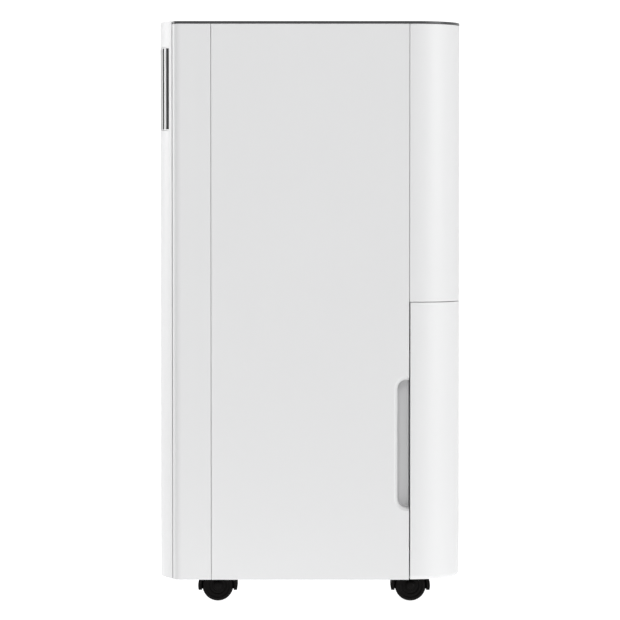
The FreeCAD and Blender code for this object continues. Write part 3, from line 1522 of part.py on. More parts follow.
def build():
    make_base_pan()
    for name in caster_places:
        make_caster(name)
    make_side_panel("side_panel_left", 1)
    make_side_panel("side_panel_right", -1)
    make_front_shell()
    make_front_panel()
    make_outlet_grille()
    make_rear_shell()
    make_cord_gland()
    make_top_cover()
    make_control_panel()
    make_display_window()
    for name, x in zip(button_names, button_places()):
        make_button(name, x)
    make_control_board()
    make_bulkhead()
    make_fan_scroll()
    make_fan_wheel()
    make_fan_motor()
    make_fins("condenser_fins", condenser_front, size.condenser_depth)
    make_fins("evaporator_fins", evaporator_front, size.evaporator_depth)
    make_coil_tube("condenser_tube", condenser_middle)
    make_coil_tube("evaporator_tube", evaporator_middle)
    make_drip_tray()
    make_compressor()
    make_compressor_grommets()
    make_compressor_nuts()
    make_suction_accumulator()
    make_pipes()
    make_run_capacitor()
    make_tank_cover()
    make_tank_tub()
    make_tank_lid()
    make_tank_handle()
    make_tank_float()
    make_tank_switch()
    make_intake_grille()
    make_filter_frame()
    make_filter_mesh()


def check_and_write():
    """Stop on anything that failed; otherwise write one STEP file for each node."""
    document.recompute()
    failed = [item.Name for item in document.Objects if {"Invalid", "Error"} & set(item.State)]
    if failed:
        raise RuntimeError("failed objects: " + ", ".join(failed))
    for name, item in nodes.items():
        if item.Shape.isNull() or not item.Shape.isValid() or not item.Shape.Solids:
            raise RuntimeError("bad shape: " + name)
    os.makedirs("parts", exist_ok=True)
    for name, item in nodes.items():
        item.Shape.exportStep(f"parts/{name}.step")
        box = item.Shape.BoundBox
        print(f"{name:34s} {len(item.Shape.Solids):3d} solids  {item.Shape.Volume / 1000:9.1f} cm3  "
              f"x {box.XMin:7.1f} {box.XMax:7.1f}  y {box.YMin:7.1f} {box.YMax:7.1f}  "
              f"z {box.ZMin:6.1f} {box.ZMax:6.1f}")
    print(len(nodes), "nodes")


build()
check_and_write()
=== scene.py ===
import json
import math

import bmesh
import bpy
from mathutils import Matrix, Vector

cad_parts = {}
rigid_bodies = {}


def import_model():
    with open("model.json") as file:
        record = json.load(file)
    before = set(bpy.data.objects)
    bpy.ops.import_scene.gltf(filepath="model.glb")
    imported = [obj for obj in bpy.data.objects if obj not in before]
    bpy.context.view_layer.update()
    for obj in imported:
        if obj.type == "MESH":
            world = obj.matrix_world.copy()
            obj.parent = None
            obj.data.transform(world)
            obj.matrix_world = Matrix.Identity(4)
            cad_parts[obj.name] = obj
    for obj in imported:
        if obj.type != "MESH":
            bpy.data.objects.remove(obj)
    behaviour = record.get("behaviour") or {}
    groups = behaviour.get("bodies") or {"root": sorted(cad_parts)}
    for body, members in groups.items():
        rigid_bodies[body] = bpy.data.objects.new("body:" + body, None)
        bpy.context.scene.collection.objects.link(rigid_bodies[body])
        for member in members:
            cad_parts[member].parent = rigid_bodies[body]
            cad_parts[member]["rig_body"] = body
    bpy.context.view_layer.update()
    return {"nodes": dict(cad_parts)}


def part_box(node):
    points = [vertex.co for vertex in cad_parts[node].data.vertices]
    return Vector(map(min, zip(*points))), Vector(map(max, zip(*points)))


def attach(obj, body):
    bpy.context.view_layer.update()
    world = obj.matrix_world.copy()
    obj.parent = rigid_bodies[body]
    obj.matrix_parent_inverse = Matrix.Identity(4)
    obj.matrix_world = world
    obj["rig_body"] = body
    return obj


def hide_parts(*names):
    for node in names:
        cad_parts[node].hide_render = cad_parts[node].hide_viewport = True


# Looks of a tall compressor dehumidifier on casters.  Metres, +Z up, the air outlet faces -Y.
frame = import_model()
MM = 0.001

# The bow of the front panel: flat in the middle, an arc on each side
PANEL_LOW, PANEL_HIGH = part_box("front_panel")
FRONT_FACE = PANEL_LOW.y
BOW_RUN = 40 * MM
FLAT_HALF = PANEL_HIGH.x - BOW_RUN
BOW_DEPTH = PANEL_HIGH.y - PANEL_LOW.y
BOW_RADIUS = (BOW_RUN ** 2 + BOW_DEPTH ** 2) / (2 * BOW_DEPTH)

# The inward curl of the casing's front corners: its arc, the cuts that let the flat side follow it,
# and how far in from the side face a point still curls
SHELL_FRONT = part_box("front_shell")[0].y
CURL_RADIUS = 19 * MM
CURL_TURN = math.radians(33)
CURL_STEPS = 9
CURL_REACH = 8 * MM

# The finger recess in each side panel: its front edge in Y, its lower and upper edges in Z, its
# depth, how far its walls slope, its round corners, and how near to its walls counts as on them
RECESS_FRONT = 86 * MM
RECESS_LOW = 97.5 * MM
RECESS_HIGH = 236.5 * MM
RECESS_DEPTH = 14 * MM
RECESS_SLOPE = 4 * MM
RECESS_CORNER = 13 * MM
NEAR = 0.1 * MM


# --- node trees -------------------------------------------------------------------------------

class Value:
    """An output of a node that takes part in plain sums."""

    def __init__(self, wires, socket):
        self.wires = wires
        self.socket = socket

    def combine(self, operation, first, second=None):
        sockets = {0: first} if second is None else {0: first, 1: second}
        return self.wires.node("ShaderNodeMath", {"operation": operation}, sockets)

    def __add__(self, other):
        return self.combine("ADD", self, other)

    def __radd__(self, other):
        return self.combine("ADD", other, self)

    def __sub__(self, other):
        return self.combine("SUBTRACT", self, other)

    def __rsub__(self, other):
        return self.combine("SUBTRACT", other, self)

    def __mul__(self, other):
        return self.combine("MULTIPLY", self, other)

    def __rmul__(self, other):
        return self.combine("MULTIPLY", other, self)

    def __truediv__(self, other):
        return self.combine("DIVIDE", self, other)

    def __rtruediv__(self, other):
        return self.combine("DIVIDE", other, self)

    def __neg__(self):
        return self.combine("MULTIPLY", self, -1.0)

    def __abs__(self):
        return self.combine("ABSOLUTE", self)

    def __lt__(self, other):
        return self.combine("LESS_THAN", self, other)

    def __gt__(self, other):
        return self.combine("GREATER_THAN", self, other)

    def root(self):
        return self.combine("SQRT", self)

    def sine(self):
        return self.combine("SINE", self)

    def most(self, other):
        return self.combine("MAXIMUM", self, other)


class Wires:
    """A node tree that is wired by plain calls."""

    def __init__(self, tree):
        self.tree = tree

    def node(self, kind, settings=None, sockets=None, output=0):
        """Add a node: its settings first, then the values or links of its sockets."""
        item = self.tree.nodes.new(kind)
        for name, setting in (settings or {}).items():
            if name == "stops":
                self.fill_ramp(item.color_ramp, setting)
            else:
                setattr(item, name, setting)
        for name, value in (sockets or {}).items():
            for single in value if isinstance(value, list) else [value]:
                if isinstance(single, Value):
                    self.tree.links.new(single.socket, item.inputs[name])
                else:
                    item.inputs[name].default_value = single
        return Value(self, item.outputs[output])

    def fill_ramp(self, ramp, stops):
        while len(ramp.elements) < len(stops):
            ramp.elements.new(0.5)
        for element, (place, shade) in zip(ramp.elements, stops):
            element.position = place
            element.color = (shade, shade, shade, 1)

    def split(self, vector):
        parts = self.node("ShaderNodeSeparateXYZ", None, {0: vector})
        outputs = parts.socket.node.outputs
        return [Value(self, outputs[index]) for index in range(3)]

    def join(self, x=0.0, y=0.0, z=0.0):
        return self.node("ShaderNodeCombineXYZ", None, {0: x, 1: y, 2: z})


class Finish(Wires):
    """A material and the nodes that give it its surface."""

    def __init__(self, name, roughness, **constants):
        self.material = bpy.data.materials.new(name)
        self.material.use_nodes = True
        super().__init__(self.material.node_tree)
        self.shader = self.tree.nodes["Principled BSDF"]
        self.shader.inputs["Roughness"].default_value = roughness
        for socket, value in constants.items():
            self.shader.inputs[socket.replace("_", " ")].default_value = value
        self.place = self.node("ShaderNodeTexCoord", None, None, "Object")

    def feed(self, socket, value):
        self.tree.links.new(value.socket, self.shader.inputs[socket])

    def noise(self, scale, detail=2.0, stretch=None, rough=0.5):
        place = self.place
        if stretch:
            place = self.node("ShaderNodeVectorMath", {"operation": "MULTIPLY"}, {0: place, 1: stretch})
        return self.node("ShaderNodeTexNoise", None,
                         {"Vector": place, "Scale": scale, "Detail": detail, "Roughness": rough})

    def ramp(self, value, *stops):
        return self.node("ShaderNodeValToRGB", {"stops": stops}, {0: value})

    def tint(self, mask, first, second):
        """A colour between two: the first where the mask is 0, the second where it is 1."""
        first = first if isinstance(first, Value) else (*first, 1)
        second = second if isinstance(second, Value) else (*second, 1)
        return self.node("ShaderNodeMix", {"data_type": "RGBA"}, {0: mask, 6: first, 7: second}, 2)

    def bump(self, height, distance, strength=1.0):
        self.feed("Normal", self.node("ShaderNodeBump", None,
                                      {"Strength": strength, "Distance": distance, "Height": height}))

    def edges(self):
        """1 along worn outer edges, 0 elsewhere."""
        shape = self.node("ShaderNodeNewGeometry", None, None, "Pointiness")
        return self.ramp(shape, (0.52, 0), (0.6, 1))


def shade(colour, factor):
    return tuple(channel * factor for channel in colour)


def moulded(name, colour, roughness, grain=0.02 * MM, speckle=0.02, **constants):
    """Injection-moulded plastic: faint clouds of tone, a fine eroded grain, polished edges."""
    finish = Finish(name, roughness, **constants)
    clouds = finish.noise(7.0, 3.0)
    pores = finish.noise(1500.0, 3.0)
    flow = finish.noise(30.0, 4.0, stretch=(1.0, 1.0, 0.15))
    tone = clouds * 0.6 + flow * 0.25 + pores * 0.15
    finish.feed("Base Color", finish.tint(tone, shade(colour, 1 - speckle), shade(colour, 1 + speckle)))
    finish.feed("Roughness", roughness + (flow - 0.5) * 0.1 + (pores - 0.5) * 0.12 - finish.edges() * 0.08)
    finish.bump(pores, grain)
    return finish.material


def painted_steel(name, colour, roughness):
    """Thick enamel over pressed steel, with orange peel and a little dust."""
    finish = Finish(name, roughness, Coat_Weight=0.3)
    peel = finish.noise(420.0, 1.0)
    dust = finish.ramp(finish.noise(35.0, 6.0, rough=0.7), (0.5, 0), (0.75, 1))
    finish.feed("Base Color", finish.tint(dust * 0.4, colour, (0.16, 0.15, 0.14)))
    finish.feed("Roughness", roughness + dust * 0.3)
    finish.bump(peel, 0.08 * MM, 0.6)
    return finish.material


def metal(name, colour, tarnish, roughness, stretch=(1.0, 1.0, 1.0)):
    """Bare metal, drawn or rolled along the least stretched direction."""
    finish = Finish(name, roughness, Metallic=1.0)
    lines = finish.noise(900.0, 2.0, stretch=stretch)
    stains = finish.ramp(finish.noise(28.0, 5.0, rough=0.65), (0.42, 0), (0.72, 1))
    finish.feed("Base Color", finish.tint(stains, colour, tarnish))
    finish.feed("Roughness", roughness + stains * 0.22 + (lines - 0.5) * 0.15)
    finish.bump(lines, 0.01 * MM)
    return finish.material


def rubber(name, colour):
    """Matt black rubber with a little dust."""
    finish = Finish(name, 0.75)
    dust = finish.ramp(finish.noise(60.0, 6.0, rough=0.7), (0.45, 0), (0.7, 1))
    grain = finish.noise(1100.0, 2.0)
    finish.feed("Base Color", finish.tint(dust * 0.5, colour, shade(colour, 2.2)))
    finish.feed("Roughness", 0.68 + grain * 0.14 + dust * 0.1)
    finish.bump(grain, 0.05 * MM)
    return finish.material


def smoked_plate():
    """The dark glossy top: a smoked panel with a faint metal flake and fine wipe marks."""
    finish = Finish("smoked_plate", 0.26, Coat_Weight=0.2, Coat_Roughness=0.2, Specular_IOR_Level=0.4)
    flake = finish.ramp(finish.noise(2600.0, 1.0), (0.62, 0), (0.72, 1))
    wiped = finish.noise(16.0, 5.0, stretch=(0.25, 1.0, 1.0))
    finish.feed("Base Color", finish.tint(flake, (0.035, 0.036, 0.038), (0.085, 0.088, 0.092)))
    finish.feed("Roughness", 0.24 + wiped * 0.14)
    finish.bump(wiped, 0.02 * MM, 0.4)
    return finish.material


def clear_plastic(name, colour, clearness, roughness):
    """Milky polypropylene with flow lines."""
    finish = Finish(name, roughness, Transmission_Weight=clearness, IOR=1.49)
    flow = finish.noise(22.0, 4.0, stretch=(1.0, 1.0, 0.2))
    haze = finish.noise(260.0, 2.0)
    finish.feed("Base Color", finish.tint(flow, colour, shade(colour, 1.06)))
    finish.feed("Roughness", roughness + flow * 0.16 + haze * 0.05)
    finish.bump(haze, 0.03 * MM, 0.6)
    return finish.material


def foam():
    """Closed-cell foam of the float: rounded beads pressed together, with painted shade in the grooves
    between them.
    """
    finish = Finish("float_foam", 0.85)
    beads = finish.node("ShaderNodeTexVoronoi", {"feature": "F1"}, {"Vector": finish.place, "Scale": 330.0})
    # Painted shade: the base colour darkens from each bead's middle towards its rim, shading the grooves
    # between beads
    finish.feed("Base Color", finish.tint(beads, (0.86, 0.86, 0.84), (0.62, 0.63, 0.63)))
    finish.feed("Roughness", 0.75 + beads * 0.2)
    finish.bump(1 - beads, 0.5 * MM)
    return finish.material


def board_finish():
    """Green solder mask with copper traces that run in straight lanes."""
    finish = Finish("board_green", 0.3)
    across = finish.split(finish.place)[1]
    lanes = finish.ramp((across * 1600.0).sine(), (0.8, 0), (0.9, 1))
    cut = finish.ramp(finish.noise(55.0, 0.0, stretch=(1.0, 4.0, 1.0)), (0.5, 0), (0.52, 1))
    vias = finish.node("ShaderNodeTexVoronoi", {"feature": "F1"}, {"Vector": finish.place, "Scale": 170.0})
    traces = (lanes * cut).most(vias < 0.16)
    finish.feed("Base Color", finish.tint(traces, (0.012, 0.12, 0.035), (0.05, 0.3, 0.08)))
    finish.feed("Roughness", 0.28 + traces * 0.15)
    finish.bump(traces, 0.04 * MM)
    return finish.material


def stroke(field, half):
    """1 where a field is nearer to zero than half a line's width."""
    return abs(field) < half


def mark_finish(name, marks):
    """A smoked button cap with a white printed mark; marks is given the place around the button."""
    low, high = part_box(name)
    centre = (low + high) / 2
    finish = Finish(name + "_cap", 0.22, Coat_Weight=0.4, Coat_Roughness=0.1)
    x, y, z = finish.split(finish.place)
    top = z > high.z - 2 * MM
    mark = marks(x - centre.x, y - centre.y) * top
    wear = finish.noise(500.0, 3.0)
    finish.feed("Base Color", finish.tint(mark, (0.05, 0.052, 0.055), (0.78, 0.79, 0.8)))
    finish.feed("Roughness", 0.2 + wear * 0.12 + mark * 0.25)
    finish.bump(wear, 0.02 * MM, 0.5)
    return finish.material


def ring(x, y, radius):
    """How far outside a circle a place lies; negative inside it."""
    return (x * x + y * y).root() - radius


def power_mark(x, y):
    """A ring open at the top, with a short upright bar in the gap."""
    half_line = 0.35 * MM
    gap = (abs(x) < 0.9 * MM) * (y > 0.0)
    circle = stroke(ring(x, y, 2.8 * MM), half_line) * (1 - gap)
    bar = stroke(x, half_line) * (y > 0.6 * MM) * (y < 3.6 * MM)
    return circle.most(bar)


def drop_mark(x, y):
    """A water drop: a disc with a point on top."""
    body = ring(x, y + 0.9 * MM, 2.2 * MM) < 0.0
    point = (abs(x) * 1.9 + y < 3.5 * MM) * (y > 0.0)
    return body.most(point)


def fan_mark(x, y):
    """Four round blades about a hub."""
    out = 1.9 * MM
    blade = 1.4 * MM
    blades = (ring(abs(x) - out, y, blade) < 0.0).most(ring(x, abs(y) - out, blade) < 0.0)
    hub = ring(x, y, 0.8 * MM) < 0.0
    return (blades * (1 - (ring(x, y, 1.2 * MM) < 0.0))).most(hub)


def clock_mark(x, y):
    """A ring with a long hand up and a short one to the right."""
    half_hand = 0.28 * MM
    rim = stroke(ring(x, y, 3.0 * MM), 0.3 * MM)
    long_hand = stroke(x, half_hand) * (y > 0.0) * (y < 2.2 * MM)
    short_hand = stroke(y, half_hand) * (x > 0.0) * (x < 1.6 * MM)
    return rim.most(long_hand).most(short_hand)


def segment_digit(x, y, lit):
    """A seven-segment digit about 6 mm wide and 10 mm high; lit holds the names of its lit bars."""
    half_bar = 0.45 * MM
    half_width = 2.7 * MM
    half_height = 4.6 * MM
    across = abs(x) < 2.1 * MM
    above = (y > 0.5 * MM) * (y < 4.4 * MM)
    below = (y < -0.5 * MM) * (y > -4.4 * MM)
    bars = {
        "top": stroke(y - half_height, half_bar) * across,
        "middle": stroke(y, half_bar) * across,
        "bottom": stroke(y + half_height, half_bar) * across,
        "upper_left": stroke(x + half_width, half_bar) * above,
        "upper_right": stroke(x - half_width, half_bar) * above,
        "lower_left": stroke(x + half_width, half_bar) * below,
        "lower_right": stroke(x - half_width, half_bar) * below,
    }
    total = bars[lit[0]]
    for name in lit[1:]:
        total = total.most(bars[name])
    return total


def display_finish():
    """Black glass over a two-digit humidity reading, 5 and 0."""
    low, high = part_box("display_window")
    centre = (low + high) / 2
    finish = Finish("display_glass", 0.16, Emission_Strength=0.7)
    x, y, z = finish.split(finish.place)
    x = x - centre.x
    y = y - centre.y
    aside = 6 * MM
    five = segment_digit(x + aside, y, ("top", "upper_left", "middle", "lower_right", "bottom"))
    nought = segment_digit(x - aside, y, ("top", "upper_left", "upper_right", "lower_left",
                                          "lower_right", "bottom"))
    lit = five.most(nought) * (z > high.z - 0.5 * MM)
    smear = finish.noise(40.0, 4.0)
    finish.feed("Base Color", finish.tint(lit, (0.008, 0.009, 0.011), (0.6, 0.75, 0.8)))
    finish.feed("Emission Color", finish.tint(lit, (0.0, 0.0, 0.0), (0.6, 0.85, 1.0)))
    finish.feed("Roughness", 0.13 + smear * 0.08)
    return finish.material


WHITE = (0.8, 0.802, 0.806)
finishes = {
    "casing": moulded("casing_white", WHITE, 0.42),
    "tank_face": moulded("tank_white", shade(WHITE, 1.01), 0.4),
    "grille": moulded("grille_white", shade(WHITE, 0.99), 0.45),
    "outlet": moulded("outlet_white", WHITE, 0.35),
    "outlet_dark": moulded("outlet_dark", (0.035, 0.036, 0.038), 0.5),
    "inner_plastic": moulded("inner_grey", (0.42, 0.43, 0.44), 0.55, grain=0.04 * MM, speckle=0.05),
    "dark_plate": smoked_plate(),
    "display": display_finish(),
    "board": board_finish(),
    "button": moulded("button_smoke", (0.05, 0.052, 0.055), 0.3),
    "fan_plastic": moulded("fan_black", (0.03, 0.031, 0.033), 0.45, speckle=0.2),
    "motor_steel": metal("motor_zinc", (0.62, 0.63, 0.62), (0.36, 0.36, 0.34), 0.3, (1.0, 0.1, 1.0)),
    "fin": metal("fin_aluminium", (0.82, 0.83, 0.84), (0.6, 0.6, 0.6), 0.28, (1.0, 1.0, 0.05)),
    "copper": metal("tube_copper", (0.78, 0.38, 0.24), (0.34, 0.16, 0.1), 0.25, (1.0, 0.3, 0.3)),
    "compressor_paint": painted_steel("compressor_black", (0.02, 0.02, 0.022), 0.28),
    "rubber": rubber("rubber_black", (0.02, 0.02, 0.02)),
    "steel": metal("zinc_steel", (0.66, 0.66, 0.64), (0.42, 0.41, 0.36), 0.3),
    "capacitor": metal("capacitor_can", (0.75, 0.76, 0.77), (0.55, 0.55, 0.55), 0.24, (1.0, 1.0, 0.08)),
    "switch": moulded("switch_black", (0.03, 0.03, 0.032), 0.45),
    "tub": clear_plastic("tub_milky", (0.82, 0.86, 0.88), 0.55, 0.3),
    "lid": moulded("lid_grey", (0.62, 0.64, 0.66), 0.4),
    "handle": moulded("handle_grey", (0.16, 0.17, 0.18), 0.42),
    "float": foam(),
    "filter_frame": moulded("filter_frame_black", (0.05, 0.051, 0.055), 0.5),
    "filter_mesh": moulded("filter_thread", (0.09, 0.095, 0.1), 0.6, speckle=0.2),
    "caster": moulded("caster_nylon", (0.0045, 0.0038, 0.0035), 0.5, grain=0.05 * MM, speckle=0.25,
                      Specular_IOR_Level=0.08),
    "wheel": moulded("wheel_nylon", (0.0045, 0.0039, 0.0036), 0.48, grain=0.04 * MM, speckle=0.25,
                     Specular_IOR_Level=0.08),
}


# --- pieces -----------------------------------------------------------------------------------

def body_of(node):
    return frame["nodes"][node]["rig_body"]


def slot_of(node):
    """The record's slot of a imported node, read from the material that it came with."""
    return cad_slots[node]


cad_slots = {name: item.data.materials[0].name.split(".")[0] for name, item in frame["nodes"].items()}


def new_piece(name, mesh, *materials):
    item = bpy.data.objects.new(name, mesh)
    bpy.context.scene.collection.objects.link(item)
    mesh.materials.clear()
    for material in materials:
        mesh.materials.append(material)
    return item


def smooth(mesh, angle=32):
    """Smooth shading, with edges sharper than an angle in degrees kept sharp."""
    mesh.shade_smooth()
    mesh.set_sharp_from_angle(angle=math.radians(angle))


def round_edges(item, width, segments=3, angle=32):
    """Rounds every edge sharper than an angle, and keeps the flats flat."""
    bevel = item.modifiers.new("rounding", "BEVEL")
    bevel.width = width
    bevel.segments = segments
    bevel.limit_method = "ANGLE"
    bevel.angle_limit = math.radians(angle)
    bevel.use_clamp_overlap = False
    bevel.miter_outer = "MITER_ARC"
    flats = item.modifiers.new("flats", "WEIGHTED_NORMAL")
    flats.keep_sharp = True
    return item


def replace_node(item, *nodes):
    """Lets a finished piece stand for CAD nodes and move with their body."""
    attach(item, body_of(nodes[0]))
    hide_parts(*nodes)
    return item


def ride_with(item, node):
    """Lets a piece that is added to a node move with that node's body."""
    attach(item, body_of(node))
    return item


def clean_copy(node):
    """A node's surface as one closed mesh with as few faces as its shape needs."""
    mesh = frame["nodes"][node].data.copy()
    work = bmesh.new()
    work.from_mesh(mesh)
    bmesh.ops.remove_doubles(work, verts=work.verts, dist=0.002 * MM)
    bmesh.ops.dissolve_degenerate(work, dist=0.001 * MM, edges=work.edges)
    bmesh.ops.dissolve_limit(work, angle_limit=math.radians(0.3), verts=work.verts, edges=work.edges,
                             delimit={"NORMAL"})
    work.to_mesh(mesh)
    work.free()
    # The normals that came with the loose triangles don't suit the merged faces
    carried = mesh.attributes.get("custom_normal")
    if carried:
        mesh.attributes.remove(carried)
    return mesh


def rounded_node(node, width, segments=3):
    """A node's own shape with its moulded edges rounded."""
    mesh = clean_copy(node)
    smooth(mesh)
    item = new_piece(node + "_skin", mesh, finishes[slot_of(node)])
    round_edges(item, width, segments)
    return replace_node(item, node)


def curl_front(mesh, face):
    """Curls the sides of a casing piece gently inwards towards the front panel."""
    start = SHELL_FRONT + CURL_RADIUS * math.sin(CURL_TURN)
    work = bmesh.new()
    work.from_mesh(mesh)
    for step in range(CURL_STEPS):
        place = SHELL_FRONT + (start - SHELL_FRONT) * (step + 0.5) / CURL_STEPS
        bmesh.ops.bisect_plane(work, geom=work.verts[:] + work.edges[:] + work.faces[:], dist=0.001 * MM,
                               plane_co=(0, place, 0), plane_no=(0, 1, 0))
    for vertex in work.verts:
        run = start - vertex.co.y
        if run > 0 and abs(vertex.co.x) > face - CURL_REACH:
            inset = CURL_RADIUS - math.sqrt(CURL_RADIUS ** 2 - run ** 2)
            vertex.co.x -= math.copysign(inset, vertex.co.x)
    work.to_mesh(mesh)
    work.free()


def curled_node(node, width):
    """A node's own shape with its front corners curled in and its edges rounded."""
    mesh = clean_copy(node)
    curl_front(mesh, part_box(node)[1].x)
    smooth(mesh)
    item = new_piece(node + "_skin", mesh, finishes[slot_of(node)])
    round_edges(item, width)
    return replace_node(item, node)


def recess_walls(work, on_wall):
    """The faces of the finger recess's walls with their edges and corners."""
    walls = [item for item in work.faces
             if abs(item.normal.x) < 0.6 and all(on_wall(corner.co) for corner in item.verts)]
    return list(dict.fromkeys(part for item in walls for part in [item, *item.verts, *item.edges]))


def side_panel(node):
    """A side panel whose finger recess has a broad soft lip."""
    mesh = clean_copy(node)
    face = max(abs(corner.x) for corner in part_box(node))
    side = 1 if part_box(node)[1].x > 0 else -1
    work = bmesh.new()
    work.from_mesh(mesh)

    def on_wall(point):
        return (face - abs(point.x) < RECESS_DEPTH + NEAR and point.y > RECESS_FRONT - NEAR
                and RECESS_LOW - NEAR < point.z < RECESS_HIGH + NEAR)

    # The rolled lip: how deep each of its lines lies and how far it stands in from the edge
    rolled = [(share * RECESS_SLOPE, width * RECESS_SLOPE) for share, width in
              ((0.02, 0.1), (0.1, 0.24), (0.8, 0.9), (1.1, 0.98), (1.6, 1.0))]
    for drop, width in rolled:
        bmesh.ops.bisect_plane(work, geom=recess_walls(work, on_wall), dist=0.001 * MM,
                               plane_co=(side * (face - drop), 0, 0), plane_no=(1, 0, 0))
    for vertex in work.verts:
        drop = face - abs(vertex.co.x)
        if not on_wall(vertex.co) or not 0.02 * MM < drop < RECESS_DEPTH - 0.02 * MM:
            continue
        taken = RECESS_SLOPE * drop / RECESS_DEPTH
        wanted = min(rolled, key=lambda level: abs(level[0] - drop))[1]
        middle_z = min(max(vertex.co.z, RECESS_LOW + RECESS_CORNER), RECESS_HIGH - RECESS_CORNER)
        towards = Vector((0, max(RECESS_FRONT + RECESS_CORNER - vertex.co.y, 0), middle_z - vertex.co.z))
        if towards.length > 0.5 * MM:
            vertex.co += towards.normalized() * (wanted - taken)
    work.to_mesh(mesh)
    work.free()
    smooth(mesh, 40)
    item = new_piece(node + "_skin", mesh, finishes[slot_of(node)])
    round_edges(item, 0.2 * MM, 3, 50)
    return replace_node(item, node)


def mesh_from(vertices, faces, name):
    mesh = bpy.data.meshes.new(name)
    mesh.from_pydata(vertices, [], faces)
    work = bmesh.new()
    work.from_mesh(mesh)
    bmesh.ops.remove_doubles(work, verts=work.verts, dist=0.001 * MM)
    bmesh.ops.recalc_face_normals(work, faces=work.faces)
    work.to_mesh(mesh)
    work.free()
    return mesh


def turned(name, profile, centre, axis, steps=64):
    """A solid of revolution; profile is a closed line of (radius, place along the axis)."""
    vertices = []
    faces = []
    count = len(profile)
    for step in range(steps):
        angle = 2 * math.pi * step / steps
        for radius, along in profile:
            across = (radius * math.cos(angle), radius * math.sin(angle))
            point = {
                "X": (along, *across),
                "Y": (across[1], along, across[0]),
                "Z": (*across, along),
            }[axis]
            vertices.append(Vector(point) + centre)
    for step in range(steps):
        here = step * count
        there = (step + 1) % steps * count
        for index in range(count):
            after = (index + 1) % count
            faces.append((here + index, here + after, there + after, there + index))
    return mesh_from(vertices, faces, name)


# --- shapes that repeat -----------------------------------------------------------------------

class Growth(Wires):
    """A geometry tree with named sizes that grows one plain mesh."""

    def __init__(self, name, **sizes):
        super().__init__(bpy.data.node_groups.new(name, "GeometryNodeTree"))
        self.name = name
        self.sizes = sizes
        for label, value in sizes.items():
            kind = "NodeSocketInt" if isinstance(value, int) else "NodeSocketFloat"
            self.tree.interface.new_socket(label, in_out="INPUT", socket_type=kind)
        self.tree.interface.new_socket("Shape", in_out="OUTPUT", socket_type="NodeSocketGeometry")
        self.inputs = self.tree.nodes.new("NodeGroupInput")

    def size(self, label):
        return Value(self, self.inputs.outputs[label])

    def cube(self, x, y, z, cuts=(2, 2, 2)):
        sockets = {"Size": self.join(x, y, z), "Vertices X": cuts[0], "Vertices Y": cuts[1],
                   "Vertices Z": cuts[2]}
        return self.node("GeometryNodeMeshCube", None, sockets)

    def row(self, count, step, start):
        return self.node("GeometryNodeMeshLine", {"mode": "OFFSET"},
                         {"Count": count, "Start Location": start, "Offset": step})

    def copies(self, points, shape, turn=None):
        sockets = {"Points": points, "Instance": shape}
        if turn is not None:
            sockets["Rotation"] = turn
        placed = self.node("GeometryNodeInstanceOnPoints", None, sockets)
        return self.node("GeometryNodeRealizeInstances", None, {0: placed})

    def move(self, shape, place):
        return self.node("GeometryNodeTransform", None, {"Geometry": shape, "Translation": place})

    def reshape(self, shape, place):
        return self.node("GeometryNodeSetPosition", None, {"Geometry": shape, "Position": place})

    def here(self):
        return self.split(self.node("GeometryNodeInputPosition"))

    def finished(self, shape, finish):
        real = self.node("GeometryNodeRealizeInstances", None, {0: shape})
        return self.node("GeometryNodeSetMaterial", None, {"Geometry": real, "Material": finishes[finish]})

    def grow(self, *shapes):
        """Evaluates the tree once and gives back its mesh."""
        joined = self.node("GeometryNodeJoinGeometry", None, {0: list(shapes)})
        out = self.tree.nodes.new("NodeGroupOutput")
        self.tree.links.new(joined.socket, out.inputs[0])
        host = bpy.data.objects.new(self.name, bpy.data.meshes.new(self.name))
        bpy.context.scene.collection.objects.link(host)
        modifier = host.modifiers.new(self.name, "NODES")
        modifier.node_group = self.tree
        for socket in self.tree.interface.items_tree:
            if socket.in_out == "INPUT":
                modifier[socket.identifier] = self.sizes[socket.name]
        evaluated = host.evaluated_get(bpy.context.evaluated_depsgraph_get())
        mesh = bpy.data.meshes.new_from_object(evaluated)
        bpy.data.objects.remove(host)
        return mesh


def grown_piece(name, mesh):
    """An object for a grown mesh, which brings its own materials."""
    item = bpy.data.objects.new(name, mesh)
    bpy.context.scene.collection.objects.link(item)
    return item


